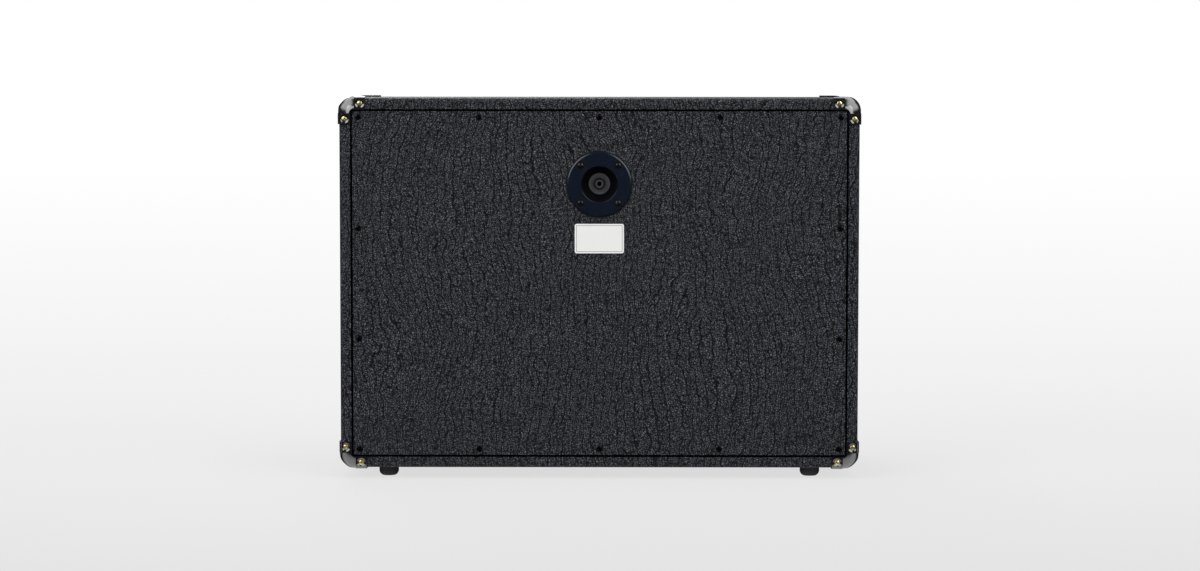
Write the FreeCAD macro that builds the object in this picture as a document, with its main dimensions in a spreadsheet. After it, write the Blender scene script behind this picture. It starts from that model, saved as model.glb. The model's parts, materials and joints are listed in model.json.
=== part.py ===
"""Closed-back guitar cabinet for two twelve-inch loudspeakers.

Millimetres. +Z is up, the grille faces -Y and the back panel faces +Y. The origin lies on the
ground, under the middle of the case. Left and right are as seen from the grille side.
"""
import FreeCAD, Part
import math
import os
import re

import Sketcher

V = FreeCAD.Vector

# Driving sizes: name, value, meaning
SIZES = (
    ("cab_width", 740, "case width over the covering"),
    ("cab_height", 528, "case height over the covering, without the feet"),
    ("cab_depth", 300, "case depth over the covering"),
    ("board_thickness", 15, "top, bottom and side boards"),
    ("joint_lap", 7.5, "depth of the rebates that take the side boards"),
    ("cover_thickness", 0.6, "vinyl covering"),
    ("edge_radius", 16, "rounding of the four long edges, over the covering"),
    ("rim_radius", 6, "rounding of the front and rear rims, over the covering"),
    ("cleat_side", 20, "square section of the cleats"),
    ("back_thickness", 15, "back panel board"),
    ("back_recess", 1, "covered back panel below the rear rim"),
    ("back_gap", 1.6, "gap round the covered back panel"),
    ("back_screw_inset", 9, "back screws from the covered panel's edge"),
    ("back_screw_columns", 5, "screws along the top and bottom of the back"),
    ("back_screw_rows", 4, "screws up each side of the back"),
    ("baffle_thickness", 18, "loudspeaker board"),
    ("baffle_recess", 24, "baffle front behind the front rim"),
    ("baffle_gap", 0.5, "gap round the baffle"),
    ("frame_thickness", 9, "grille frame"),
    ("frame_width", 40, "width of the grille frame's rails and centre stile"),
    ("cloth_thickness", 0.8, "grille cloth"),
    ("piping_width", 5, "piping round the grille"),
    ("piping_depth", 13, "piping from the baffle to its crown"),
    ("piping_crown", 2.4, "rounding of the piping's crown"),
    ("grille_gap", 0.2, "gap on each side of the piping"),
    ("grille_screw_inset", 14.4, "grille screws from the side cleats"),
    ("grille_screw_z", 170, "grille screws above and below the middle"),
    ("corner_leg", 37, "length of a corner's legs"),
    ("corner_leg_width", 16.5, "width of the legs on the front and rear faces"),
    ("corner_thickness", 2.4, "wall of a corner"),
    ("corner_seat", 0.2, "depth to which a corner presses into the covering"),
    ("ball_radius", 26.8, "ball of a corner, at the covering"),
    ("ball_inset", 23.6, "middle of the ball from the case's outer faces"),
    ("ball_depth", 25, "middle of the ball from the case's front or rear"),
    ("ball_reach", 21.5, "ball along the legs"),
    ("corner_toe_radius", 14, "rounding of a corner's free toes"),
    ("corner_screw_far", 29.5, "face screws of a corner, along the leg"),
    ("corner_screw_near", 7.5, "face screws of a corner, across the leg"),
    ("corner_screw_side", 24, "side screw of a corner, from both edges"),
    ("corner_dimple_mouth", 6.6, "dimple round a corner's screw, radius at the surface"),
    ("corner_dimple_floor", 4.1, "dimple round a corner's screw, radius under the head"),
    ("corner_dimple_depth", 1.3, "dimple round a corner's screw"),
    ("foot_height", 16, "rubber foot"),
    ("foot_radius", 14, "rubber foot at the case"),
    ("foot_sole_radius", 9.5, "flat sole of a foot"),
    ("foot_wall", 7, "straight part of a foot's side"),
    ("foot_shoulder", 8.5, "rounding of a foot's shoulder"),
    ("foot_bore", 5.2, "radius of the recess for the foot's screw"),
    ("foot_web", 3.4, "rubber under the foot's screw head"),
    ("foot_inset_x", 66, "foot centres from the case's sides"),
    ("foot_inset_y", 45, "foot centres from the case's front and rear"),
    ("handle_width", 144, "bezel of a side handle"),
    ("handle_height", 116, "bezel of a side handle"),
    ("handle_corner", 13, "corner radius of the bezel"),
    ("handle_bezel", 2.6, "bezel above the covering"),
    ("handle_rim", 1.6, "rounding of the bezel's rim"),
    ("cup_width", 120, "handle cup, outside"),
    ("cup_height", 92, "handle cup, outside"),
    ("cup_corner", 14, "corner radius of the cup"),
    ("cup_depth", 48, "handle cup behind the covering"),
    ("cup_wall", 3, "wall and floor of the cup"),
    ("cup_draft", 3, "slope of the cup's walls in degrees"),
    ("cup_gap", 1, "gap round the cup in the side board"),
    ("grip_height", 24, "hand grip across the cup"),
    ("grip_thickness", 20, "hand grip, front to back"),
    ("grip_round", 7, "rounding of the hand grip"),
    ("grip_front", 0.4, "hand grip in front of the covering"),
    ("handle_above", 56, "handle centre above the middle of the case"),
    ("handle_screw_x", 65, "bezel screws, sideways"),
    ("handle_screw_z", 51, "bezel screws, up and down"),
    ("jack_above", 142, "jack plate above the middle of the case"),
    ("plate_radius", 47, "jack plate"),
    ("plate_thickness", 2.6, "jack plate's flange"),
    ("plate_bevel", 1.4, "bevels of the flange"),
    ("dish_mouth", 25, "radius of the jack recess at the mouth"),
    ("dish_floor", 15.5, "radius of the jack recess at the floor"),
    ("dish_depth", 22, "depth of the jack recess"),
    ("dish_wall", 2.5, "wall of the jack recess"),
    ("dish_gap", 1, "gap round the recess in the back panel"),
    ("plate_screw_offset", 26.7, "plate screws from the centre, both ways"),
    ("plate_recess_radius", 4.6, "recesses for the heads of the plate screws"),
    ("plate_recess_depth", 0.9, "recesses for the heads of the plate screws"),
    ("socket_width", 18, "jack socket housing"),
    ("socket_below", 9, "housing below the jack's axis"),
    ("socket_above", 15, "housing above the jack's axis"),
    ("socket_depth", 25, "housing behind the recess floor"),
    ("bush_radius", 5.85, "threaded bush"),
    ("bush_length", 8.1, "bush in front of the housing"),
    ("bush_gap", 0.15, "gap round the bush"),
    ("jack_bore", 3.25, "radius of the plug's way in"),
    ("nut_radius", 8.5, "ring nut"),
    ("nut_thickness", 4.2, "ring nut"),
    ("chamber_wall", 4, "housing front before the spring chamber"),
    ("chamber_room", 0.5, "spring chamber round the bore"),
    ("chamber_top", 12.8, "spring chamber above the axis"),
    ("spring_gap", 0.4, "gap on each side of the tip spring"),
    ("spring_gauge", 0.5, "tip spring strip"),
    ("spring_height", 6.6, "tip spring above the axis at its root"),
    ("spring_dip", 2.2, "tip spring above the axis at its bend"),
    ("spring_root", 2, "tip spring's ends from the chamber's ends"),
    ("spring_bend", 14, "tip spring's bend behind the housing's front"),
    ("label_width", 70, "blank label"),
    ("label_height", 42, "blank label"),
    ("label_corner", 3, "corner radius of the label"),
    ("label_thickness", 0.25, "label"),
    ("label_above", 64.5, "label centre above the middle of the case"),
    ("speaker_x", 172, "loudspeakers from the middle"),
    ("cutout_radius", 141.5, "loudspeaker openings in the baffle"),
    ("flange_radius", 154.5, "loudspeaker flange"),
    ("gasket_inner", 140.5, "gasket ring, inside"),
    ("gasket_thickness", 3.5, "gasket ring"),
    ("basket_gauge", 1.4, "pressed steel of the basket"),
    ("basket_mouth", 138, "basket wall at the flange"),
    ("basket_slant", 0.5, "rear of the slanted wall outside its front"),
    ("seat_radius", 62, "basket wall at the spider seat"),
    ("seat_depth", 72, "spider seat behind the baffle"),
    ("neck_radius", 46, "basket neck"),
    ("neck_length", 12, "basket neck behind the seat"),
    ("base_hole", 30, "hole in the basket's base"),
    ("window_inner", 72, "basket windows, inner end"),
    ("window_outer", 122, "basket windows, outer end"),
    ("window_inner_width", 30, "basket windows at the inner end"),
    ("window_outer_width", 62, "basket windows at the outer end"),
    ("window_count", 8, "basket windows"),
    ("screw_circle", 149, "radius of the loudspeaker screw circle"),
    ("speaker_screw_count", 4, "screws in each loudspeaker"),
    ("speaker_screw_head", 4.2, "loudspeaker screws, head radius"),
    ("speaker_screw_head_height", 2.8, "loudspeaker screw heads"),
    ("speaker_screw_shank", 2, "loudspeaker screws"),
    ("speaker_screw_length", 20, "loudspeaker screws"),
    ("top_plate_radius", 60, "front pole plate and yoke"),
    ("top_plate_thickness", 8, "front pole plate"),
    ("gap_radius", 24, "hole in the front pole plate"),
    ("magnet_radius", 70, "magnet ring"),
    ("magnet_bore", 32, "magnet ring, inside"),
    ("magnet_thickness", 18, "magnet ring"),
    ("yoke_thickness", 8, "yoke plate"),
    ("pole_radius", 21.7, "pole"),
    ("pole_vent", 8, "vent through the pole"),
    ("coil_radius", 22.25, "voice-coil former, inside"),
    ("former_wall", 0.25, "voice-coil former"),
    ("winding_wall", 0.9, "winding on the former"),
    ("winding_length", 12, "winding along the former"),
    ("winding_start", 82, "winding behind the baffle"),
    ("former_start", 67, "former behind the baffle"),
    ("cone_bond", 0.1, "glue line between cone and former"),
    ("cone_mouth", 125.7, "cone edge"),
    ("cone_edge_depth", 7, "cone edge behind the baffle"),
    ("cone_neck_depth", 68, "cone neck behind the baffle"),
    ("cone_wall", 0.95, "cone paper, along the axis"),
    ("cap_radius", 38, "dust cap"),
    ("cap_rise", 13, "height of the dust cap's dome"),
    ("cap_wall", 0.7, "dust cap"),
    ("surround_wall", 0.6, "surround"),
    ("surround_ripple", 2.4, "height of the surround's ripples"),
    ("surround_rim", 145.5, "surround rim"),
    ("spider_wall", 0.5, "spider"),
    ("spider_ripple", 2.4, "height of the spider's ripples"),
    ("spider_ripples_end", 52, "spider ripples, outer end"),
    ("flex_gap", 0.3, "gap between a flexing piece and the moving cone"),
    ("tag_board_width", 24, "terminal board"),
    ("tag_board_length", 11, "terminal board along the radius"),
    ("tag_board_thickness", 2, "terminal board"),
    ("tag_width", 5, "solder tags"),
    ("tag_length", 17, "solder tags along the radius"),
    ("tag_gauge", 0.8, "solder tags"),
    ("tag_spread", 4.5, "solder tags from the board's middle"),
    ("tag_board_inner", 48.5, "terminal board from the loudspeaker's axis"),
    ("tag_overlap", 2, "terminal board inside the ends of its tags"),
    ("lead_radius", 0.6, "tinsel leads"),
    ("lead_landing", 96, "tinsel leads on the cone, from the axis"),
    ("lead_bow", 85, "middle of the tinsel leads, from the axis"),
    ("lead_bow_depth", 60, "middle of the tinsel leads behind the baffle"),
    ("lead_inset", 3, "tinsel leads from the ends of the tags"),
    ("cable_radius", 2.2, "loudspeaker cable"),
    ("cable_bend", 16, "bends of the cable"),
    ("cable_spacing", 4.5, "cables from the jack's axis"),
    ("cable_drop", 12, "cables under the top board"),
    ("cable_inset", 6, "cables from the housing's inner end"),
    ("clip_length", 12, "cable clip along the cable"),
    ("clip_wall", 2.5, "cable clip round the cable"),
    ("clip_gap", 0.1, "gap between cable and clip"),
    ("clip_y", 40, "rear cable clip"),
    ("clip_x", 96, "side cable clips"),
    ("screw_head_height", 1, "screw heads"),
    ("screw_gap", 0.2, "gap round the screws in the pieces they hold"),
    ("corner_screw_head", 3.6, "corner screws, head radius"),
    ("corner_screw_shank", 1.5, "corner screws"),
    ("corner_screw_length", 14, "corner screws"),
    ("back_screw_head", 4.3, "back screws, head radius"),
    ("back_screw_shank", 1.9, "back screws"),
    ("back_screw_length", 32, "back screws"),
    ("small_screw_head", 3.6, "plate, handle and grille screws, head radius"),
    ("small_screw_shank", 1.6, "plate, handle and grille screws"),
    ("small_screw_length", 15, "plate and handle screws"),
    ("grille_screw_length", 24, "grille screws"),
    ("foot_screw_length", 15, "foot screws"),
)
NAMES = {alias for alias, _, _ in SIZES}

doc = FreeCAD.newDocument("GuitarCabinet")
sheet = doc.addObject("Spreadsheet::Sheet", "Sizes")
for row, (alias, amount, meaning) in enumerate(SIZES, start=1):
    sheet.set(f"A{row}", meaning)
    sheet.set(f"B{row}", str(amount))
    sheet.setAlias(f"B{row}", alias)
doc.recompute()

# Places that several pieces share, as formulas of the sizes
MIDDLE = "(foot_height + cab_height / 2)"
HALF_WIDTH = "(cab_width / 2)"
HALF_HEIGHT = "(cab_height / 2)"
HALF_DEPTH = "(cab_depth / 2)"
INNER_X = "(cab_width / 2 - cover_thickness - board_thickness)"
INNER_Z = "(cab_height / 2 - cover_thickness - board_thickness)"
OPEN_X = "(cab_width / 2 - 2 * cover_thickness - board_thickness)"
OPEN_Z = "(cab_height / 2 - 2 * cover_thickness - board_thickness)"
BACK_FACE = "(cab_depth / 2 - back_recess)"
BACK_REAR = "(cab_depth / 2 - back_recess - cover_thickness)"
BACK_FRONT = "(cab_depth / 2 - back_recess - cover_thickness - back_thickness)"
BACK_X = f"({OPEN_X} - back_gap)"
BACK_Z = f"({OPEN_Z} - back_gap)"
BAFFLE_FRONT = "(baffle_recess - cab_depth / 2)"
BAFFLE_REAR = "(baffle_recess + baffle_thickness - cab_depth / 2)"
JACK_Z = f"({MIDDLE} + jack_above)"
DISH_FLOOR = f"({BACK_FACE} + plate_thickness - dish_depth)"
SOCKET_FRONT = f"({DISH_FLOOR} - dish_wall)"
CLOTH_X = f"({OPEN_X} - piping_width - 2 * grille_gap)"
CLOTH_Z = f"({OPEN_Z} - piping_width - 2 * grille_gap)"
FLANGE_FRONT = "(gasket_thickness + surround_wall)"
FLANGE_REAR = "(gasket_thickness + surround_wall + basket_gauge)"
SEAT_REAR = "(seat_depth + basket_gauge)"
POLE_FRONT = "(seat_depth + neck_length)"
TAG_FRONT = f"({SEAT_REAR} + tag_board_thickness)"
TAG_END = "(tag_board_inner + tag_overlap + tag_length)"
CORNER_OUT = "(corner_thickness - corner_seat)"
CORNER_FLOOR = "(corner_thickness - corner_seat - corner_dimple_depth)"
CONE_NECK = "(coil_radius + former_wall + cone_bond)"
CONE_SLOPE = f"((cone_neck_depth - cone_edge_depth) / (cone_mouth - {CONE_NECK}))"
CABLE_Y = f"({BAFFLE_REAR} + {TAG_FRONT} + tag_gauge / 2)"
CABLE_Z = f"({MIDDLE} + {INNER_Z} - cable_drop)"
SIDES = (("left", -1), ("right", 1))

# Turns that point a piece's own +Z outwards
X_AXIS = V(1, 0, 0)
Y_AXIS = V(0, 1, 0)
Z_AXIS = V(0, 0, 1)
OUT = {
    "rear": FreeCAD.Rotation(X_AXIS, -90),
    "front": FreeCAD.Rotation(X_AXIS, 90),
    "down": FreeCAD.Rotation(X_AXIS, 180),
    "right": FreeCAD.Rotation(Y_AXIS, Z_AXIS, X_AXIS),
    "left": FreeCAD.Rotation(-Y_AXIS, Z_AXIS, -X_AXIS),
}

NEAR = 0.001  # how close an edge lies to the face it is looked up by

nodes = []


def bound(formula):
    """The formula with its size names pointing at the sheet."""
    return re.sub(r"[a-z]\w*", lambda word: f"Sizes.{word[0]}" if word[0] in NAMES else word[0], formula)


def number(formula):
    """The formula's present value."""
    return float(sheet.evalExpression(bound(formula)))


def node(piece, label):
    """Name a finished sub-part and put it on the list of what is written."""
    piece.Label = label
    nodes.append(piece)
    return piece


def place(piece, x="0", y="0", z="0", turn=None):
    """Put a piece at formulas for its place."""
    if turn:
        piece.Placement = FreeCAD.Placement(V(), turn)
    for axis, formula in zip("xyz", (x, y, z)):
        piece.setExpression(f"Placement.Base.{axis}", bound(formula))
    return piece


def box(name, x, y, z):
    """Block between pairs of formulas."""
    block = doc.addObject("Part::Box", name)
    for side, (low, high) in zip(("Length", "Width", "Height"), (x, y, z)):
        block.setExpression(side, bound(f"({high}) - ({low})"))
    return place(block, x[0], y[0], z[0])


def ring_box(name, half_x, half_z, y):
    """Block that is centred on the case, seen from the front."""
    spans = [(f"-{half_x}", half_x), y, (f"{MIDDLE} - {half_z}", f"{MIDDLE} + {half_z}")]
    return box(name, *spans)


def rod(name, radius, length, turn, x="0", y="0", z="0"):
    """Cylinder that starts at a place and runs along the turned +Z."""
    cylinder = doc.addObject("Part::Cylinder", name)
    cylinder.setExpression("Radius", bound(radius))
    cylinder.setExpression("Height", bound(length))
    return place(cylinder, x, y, z, turn)


def funnel(name, floor, mouth, depth, turn, x, y, z):
    """Cone that widens from its floor to its mouth, and as far again beyond the mouth."""
    cone = doc.addObject("Part::Cone", name)
    cone.setExpression("Radius1", bound(floor))
    cone.setExpression("Radius2", bound(f"2 * {mouth} - {floor}"))
    cone.setExpression("Height", bound(f"2 * {depth}"))
    return place(cone, x, y, z, turn)


def cut(name, base, *tools):
    """Take tools away from a piece, one after the other."""
    for count, tool in enumerate(tools):
        step = doc.addObject("Part::Cut", f"{name}_cut_{count}")
        step.Base = base
        step.Tool = tool
        base = step
    return base


def common(name, first, second):
    """What two pieces share."""
    shared = doc.addObject("Part::Common", name)
    shared.Base = first
    shared.Tool = second
    return shared


def group(name, pieces):
    """Separate solids kept together."""
    compound = doc.addObject("Part::Compound", name)
    compound.Links = pieces
    return compound


def copies(name, source, spots):
    """Separate copies of a piece; each spot is x, y, z and a turn."""
    links = []
    for count, (x, y, z, turn) in enumerate(spots):
        link = doc.addObject("App::Link", f"{name}_{count}")
        link.LinkedObject = source
        links.append(place(link, x, y, z, turn))
    return group(name, links)


def new_body(name):
    """Empty body for sketched features."""
    return doc.addObject("PartDesign::Body", name)


def origin_part(body, role):
    """A body's own origin plane or axis."""
    return next(part for part in body.Origin.OriginFeatures if part.Role == role)


def new_sketch(body, role, offset="0"):
    """Sketch on an origin plane, moved along the plane's normal."""
    sketch = body.newObject("Sketcher::SketchObject", f"{body.Name}_sketch")
    sketch.AttachmentSupport = [(origin_part(body, role), "")]
    sketch.MapMode = "FlatFace"
    sketch.setExpression("AttachmentOffset.Base.z", bound(offset))
    return sketch


def arc_between(start, end, radius):
    """Minor arc; a positive radius bulges to the right of the way from start to end."""
    chord = end - start
    aside = V(chord.y, -chord.x, 0).normalize()
    reach = abs(radius)
    rise = reach - (reach ** 2 - (chord.Length / 2) ** 2) ** 0.5
    crown = (start + end) / 2 + aside * (rise if radius > 0 else -rise)
    return Part.ArcOfCircle(start, crown, end)


def fix_point(sketch, geometry, end, x, y):
    """Tie a sketch point to formulas for its place."""
    for kind, formula, axis in (("DistanceX", x, -2), ("DistanceY", y, -1)):
        if abs(number(formula)) < 1e-9:
            sketch.addConstraint(Sketcher.Constraint("PointOnObject", geometry, end, axis))
            continue
        index = sketch.addConstraint(
            Sketcher.Constraint(kind, -1, 1, geometry, end, number(formula))
        )
        sketch.setExpression(f"Constraints[{index}]", bound(formula))


def outline(sketch, corners):
    """Closed outline; a third value bends the side that starts at that corner to that radius."""
    points = [V(number(corner[0]), number(corner[1]), 0) for corner in corners]
    ends = []
    for count, corner in enumerate(corners):
        start = points[count]
        end = points[(count + 1) % len(points)]
        if len(corner) == 3:
            side = arc_between(start, end, number(corner[2]))
        else:
            side = Part.LineSegment(start, end)
        index = sketch.addGeometry(side)
        forward = sketch.Geometry[index].StartPoint.distanceToPoint(start) < 1e-6
        ends.append((index, 1, 2) if forward else (index, 2, 1))
    for count, corner in enumerate(corners):
        index, first, last = ends[count]
        following, following_first, _ = ends[(count + 1) % len(ends)]
        sketch.addConstraint(
            Sketcher.Constraint("Coincident", index, last, following, following_first)
        )
        fix_point(sketch, index, first, corner[0], corner[1])
        if len(corner) == 3:
            rule = sketch.addConstraint(
                Sketcher.Constraint("Radius", index, abs(number(corner[2])))
            )
            sketch.setExpression(f"Constraints[{rule}]", bound(corner[2].lstrip("-")))
    return sketch


def rounded(sketch, half_x, half_y, radius, middle_y="0"):
    """Rectangle with round corners, centred sideways."""
    half_x, half_y, radius = f"({half_x})", f"({half_y})", f"({radius})"
    low, high = f"{middle_y} - {half_y}", f"{middle_y} + {half_y}"
    return outline(sketch, (
        (f"-{half_x} + {radius}", low),
        (f"{half_x} - {radius}", low, radius),
        (half_x, f"{low} + {radius}"),
        (half_x, f"{high} - {radius}", radius),
        (f"{half_x} - {radius}", high),
        (f"-{half_x} + {radius}", high, radius),
        (f"-{half_x}", f"{high} - {radius}"),
        (f"-{half_x}", f"{low} + {radius}", radius),
    ))


def circle(sketch, radius, x="0", y="0"):
    """Circle at a place."""
    index = sketch.addGeometry(Part.Circle(V(number(x), number(y), 0), Z_AXIS, number(radius)))
    fix_point(sketch, index, 3, x, y)
    rule = sketch.addConstraint(Sketcher.Constraint("Radius", index, number(radius)))
    sketch.setExpression(f"Constraints[{rule}]", bound(radius))
    return sketch


def extrude(body, kind, sketch, length, backwards=False, both_ways=False, draft=None):
    """Pad or Pocket of a sketch."""
    feature = body.newObject(f"PartDesign::{kind}", f"{body.Name}_{kind}")
    feature.Profile = sketch
    feature.Reversed = backwards
    feature.Midplane = both_ways
    feature.setExpression("Length", bound(length))
    if draft:
        feature.setExpression("TaperAngle", bound(draft))
    body.Tip = feature
    doc.recompute()
    return feature


def through(body, sketch):
    """Pocket right through, both ways."""
    feature = body.newObject("PartDesign::Pocket", f"{body.Name}_through")
    feature.Profile = sketch
    feature.Type = "ThroughAll"
    feature.Midplane = True
    body.Tip = feature
    return feature


def around(body, feature, count):
    """Repeat a feature round the body's own Z axis."""
    pattern = body.newObject("PartDesign::PolarPattern", f"{body.Name}_around")
    pattern.Originals = [feature]
    pattern.Axis = (origin_part(body, "Z_Axis"), [""])
    pattern.Angle = 360
    pattern.setExpression("Occurrences", bound(count))
    body.Tip = pattern
    return pattern


def soften(body, edges, radius):
    """Fillet on the edges or faces that are named."""
    base = body.Tip
    fillet = body.newObject("PartDesign::Fillet", f"{body.Name}_soft")
    fillet.Base = (base, edges)
    fillet.setExpression("Radius", bound(radius))
    body.Tip = fillet
    doc.recompute()
    return fillet


def edges_where(body, test):
    """Names of a body's edges whose middle passes a test."""
    shape = body.Tip.Shape
    return [
        f"Edge{count}" for count, edge in enumerate(shape.Edges, start=1)
        if test(edge.valueAt((edge.FirstParameter + edge.LastParameter) / 2))
    ]


def turned(name, corners):
    """Solid of revolution about its own Z; corners are radius and height along the axis."""
    body = new_body(name)
    sketch = outline(new_sketch(body, "XZ_Plane"), corners)
    turning = body.newObject("PartDesign::Revolution", f"{name}_turning")
    turning.Profile = sketch
    turning.ReferenceAxis = (sketch, ["V_Axis"])
    turning.Angle = 360
    body.Tip = turning
    return body


def screw(name, head, height, shank, length):
    """Plain screw whose head stands on the body's own ground plane."""
    body = new_body(name)
    extrude(body, "Pad", circle(new_sketch(body, "XY_Plane"), head), height)
    slope = f"{shank} * sqrt(3) / 2"
    section = outline(new_sketch(body, "XY_Plane"), (
        (shank, "0"),
        (f"{shank} / 2", slope),
        (f"-{shank} / 2", slope),
        (f"-{shank}", "0"),
        (f"-{shank} / 2", f"-{slope}"),
        (f"{shank} / 2", f"-{slope}"),
    ))
    extrude(body, "Pad", section, length, backwards=True)
    return body


def wood_screw(name, family, length):
    """Wood screw of one of the families in the sheet."""
    return screw(name, f"{family}_head", "screw_head_height", f"{family}_shank", length)


def envelope(name, inset):
    """The rounded outside of the case, moved inwards."""
    body = new_body(name)
    sketch = new_sketch(body, "XZ_Plane")
    rounded(
        sketch, f"({HALF_WIDTH} - {inset})", f"({HALF_HEIGHT} - {inset})", f"(edge_radius - {inset})"
    )
    extrude(body, "Pad", sketch, f"cab_depth - 2 * ({inset})", both_ways=True)
    rim = number(f"{HALF_DEPTH} - {inset}")
    soften(body, edges_where(body, lambda p: abs(abs(p.y) - rim) < NEAR), f"rim_radius - {inset}")
    return place(body, z=MIDDLE)


def corner_block(name, grow, reach):
    """One corner of the case as a solid, grown outwards, with its vertex at the origin and a ball there."""
    body = new_body(name)
    face = f"-({grow})"
    sketch = outline(new_sketch(body, "XZ_Plane", grow), (
        (face, reach),
        (face, "edge_radius", f"edge_radius + ({grow})"),
        ("edge_radius", face),
        (reach, face),
        (reach, reach),
    ))
    extrude(body, "Pad", sketch, f"{reach} + ({grow})", backwards=True)
    front, far = number(face), number(reach) - NEAR
    outer_rim = edges_where(body, lambda p: abs(p.y - front) < NEAR and p.x < far and p.z < far)
    soften(body, outer_rim, f"rim_radius + ({grow})")
    ball_end = f"(ball_reach + {CORNER_OUT} - ({grow}))"
    span = (f"-{ball_end}", ball_end)
    block = box(f"{name}_block", span, ("-ball_depth", "ball_depth"), span)
    ball = doc.addObject("Part::Sphere", f"{name}_ball")
    ball.setExpression("Radius", bound(f"ball_radius + ({grow})"))
    place(ball, "ball_inset", "ball_depth", "ball_inset")
    return cut(name, body, cut(f"{name}_vertex", block, ball))


def check_and_write():
    """Stop on any failed object or shape, then write one file for each sub-part."""
    doc.recompute()
    for piece in doc.Objects:
        if {"Invalid", "Error"} & set(piece.State):
            raise RuntimeError(f"{piece.Name} failed: {piece.State}")
    for piece in nodes:
        if piece.Shape.isNull() or not piece.Shape.isValid():
            raise RuntimeError(f"{piece.Label} has no valid shape")
    os.makedirs("parts", exist_ok=True)
    for piece in nodes:
        piece.Shape.exportStep(f"parts/{piece.Label}.step")
    print(len(nodes), "sub-parts written")


def mirrored(source, normal, name):
    """Mirror image in a middle plane of the case."""
    image = doc.addObject("Part::Mirroring", name)
    image.Source = source
    image.Normal = normal
    image.setExpression("Base.z", bound(MIDDLE))
    return image


def at_every_corner(source, name):
    """A front bottom left piece and its images at the other seven corners, by place."""
    pieces = {"front_bottom_left": source}
    pieces["front_bottom_right"] = mirrored(source, X_AXIS, f"{name}_front_bottom_right")
    for side, _ in SIDES:
        front = pieces[f"front_bottom_{side}"]
        pieces[f"rear_bottom_{side}"] = mirrored(front, Y_AXIS, f"{name}_rear_bottom_{side}")
    for end in ("front", "rear"):
        for side, _ in SIDES:
            low = pieces[f"{end}_bottom_{side}"]
            pieces[f"{end}_top_{side}"] = mirrored(low, Z_AXIS, f"{name}_{end}_top_{side}")
    return pieces


def case_corners():
    """Eight ball corners with three legs each; gives back the seats they press into the case."""
    inner = corner_block("corner_inner", "-corner_seat", "(corner_leg * 2)")
    outer = corner_block("corner_outer", CORNER_OUT, "corner_leg")
    past = ("-corner_leg", "edge_radius")
    inside = ("corner_leg_width", "corner_leg * 2")
    toe = ("corner_leg - corner_toe_radius", "corner_leg * 2")
    bend = "corner_leg - corner_toe_radius"
    long = "corner_leg * 2"
    hole = "corner_screw_shank + screw_gap"
    deep, drill = "corner_thickness", "corner_thickness * 3"
    window = box("corner_window", inside, past, inside)
    side_toe = cut(
        "corner_side_toe",
        box("corner_side_toe_block", past, toe, toe),
        rod("corner_side_round", "corner_toe_radius", long, OUT["right"], "-corner_leg", bend, bend),
    )
    flat_toe = cut(
        "corner_flat_toe",
        box("corner_flat_toe_block", toe, toe, past),
        rod("corner_flat_round", "corner_toe_radius", long, None, bend, bend, "-corner_leg"),
    )
    far, near, aside = "corner_screw_far", "corner_screw_near", "corner_screw_side"
    holes = group("corner_holes", [
        rod("corner_hole_a", hole, drill, OUT["front"], far, deep, near),
        rod("corner_hole_b", hole, drill, OUT["front"], near, deep, far),
        rod("corner_hole_c", hole, drill, OUT["left"], deep, aside, aside),
    ])
    cone = ("corner_dimple_floor", "corner_dimple_mouth", "corner_dimple_depth")
    floor = f"-{CORNER_FLOOR}"
    dimples = group("corner_dimples", [
        funnel("corner_dimple_a", *cone, OUT["front"], far, floor, near),
        funnel("corner_dimple_b", *cone, OUT["front"], near, floor, far),
        funnel("corner_dimple_c", *cone, OUT["left"], floor, aside, aside),
    ])
    shell = cut("corner_shell", outer, inner, window, side_toe, flat_toe, dimples, holes)
    vertex = [(f"-{HALF_WIDTH}", f"-{HALF_DEPTH}", "foot_height", None)]
    first = copies("corner", shell, vertex)
    for spot, corner in at_every_corner(first, "corner").items():
        node(corner, f"corner_{spot}")
    span = ("-corner_leg", "corner_leg")
    form = cut("corner_seat_form", box("corner_seat_block", span, span, span), inner)
    seats = at_every_corner(copies("corner_seat_spot", form, vertex), "corner_seat")
    return group("corner_seats", list(seats.values()))


def corner_screws():
    """Three screws in each corner."""
    fastener = wood_screw("corner_screw", "corner_screw", "corner_screw_length")
    spots = []
    for sx, side in ((-1, "left"), (1, "right")):
        for sy, end in ((-1, "front"), (1, "rear")):
            for sz in (-1, 1):
                for along, up in (("far", "near"), ("near", "far")):
                    spots.append((
                        f"{sx} * ({HALF_WIDTH} - corner_screw_{along})",
                        f"{sy} * ({HALF_DEPTH} + {CORNER_FLOOR})",
                        f"{MIDDLE} + {sz} * ({HALF_HEIGHT} - corner_screw_{up})",
                        OUT[end],
                    ))
                spots.append((
                    f"{sx} * ({HALF_WIDTH} + {CORNER_FLOOR})",
                    f"{sy} * ({HALF_DEPTH} - corner_screw_side)",
                    f"{MIDDLE} + {sz} * ({HALF_HEIGHT} - corner_screw_side)",
                    OUT[side],
                ))
    node(copies("corner_screws", fastener, spots), "corner_screws")


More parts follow.
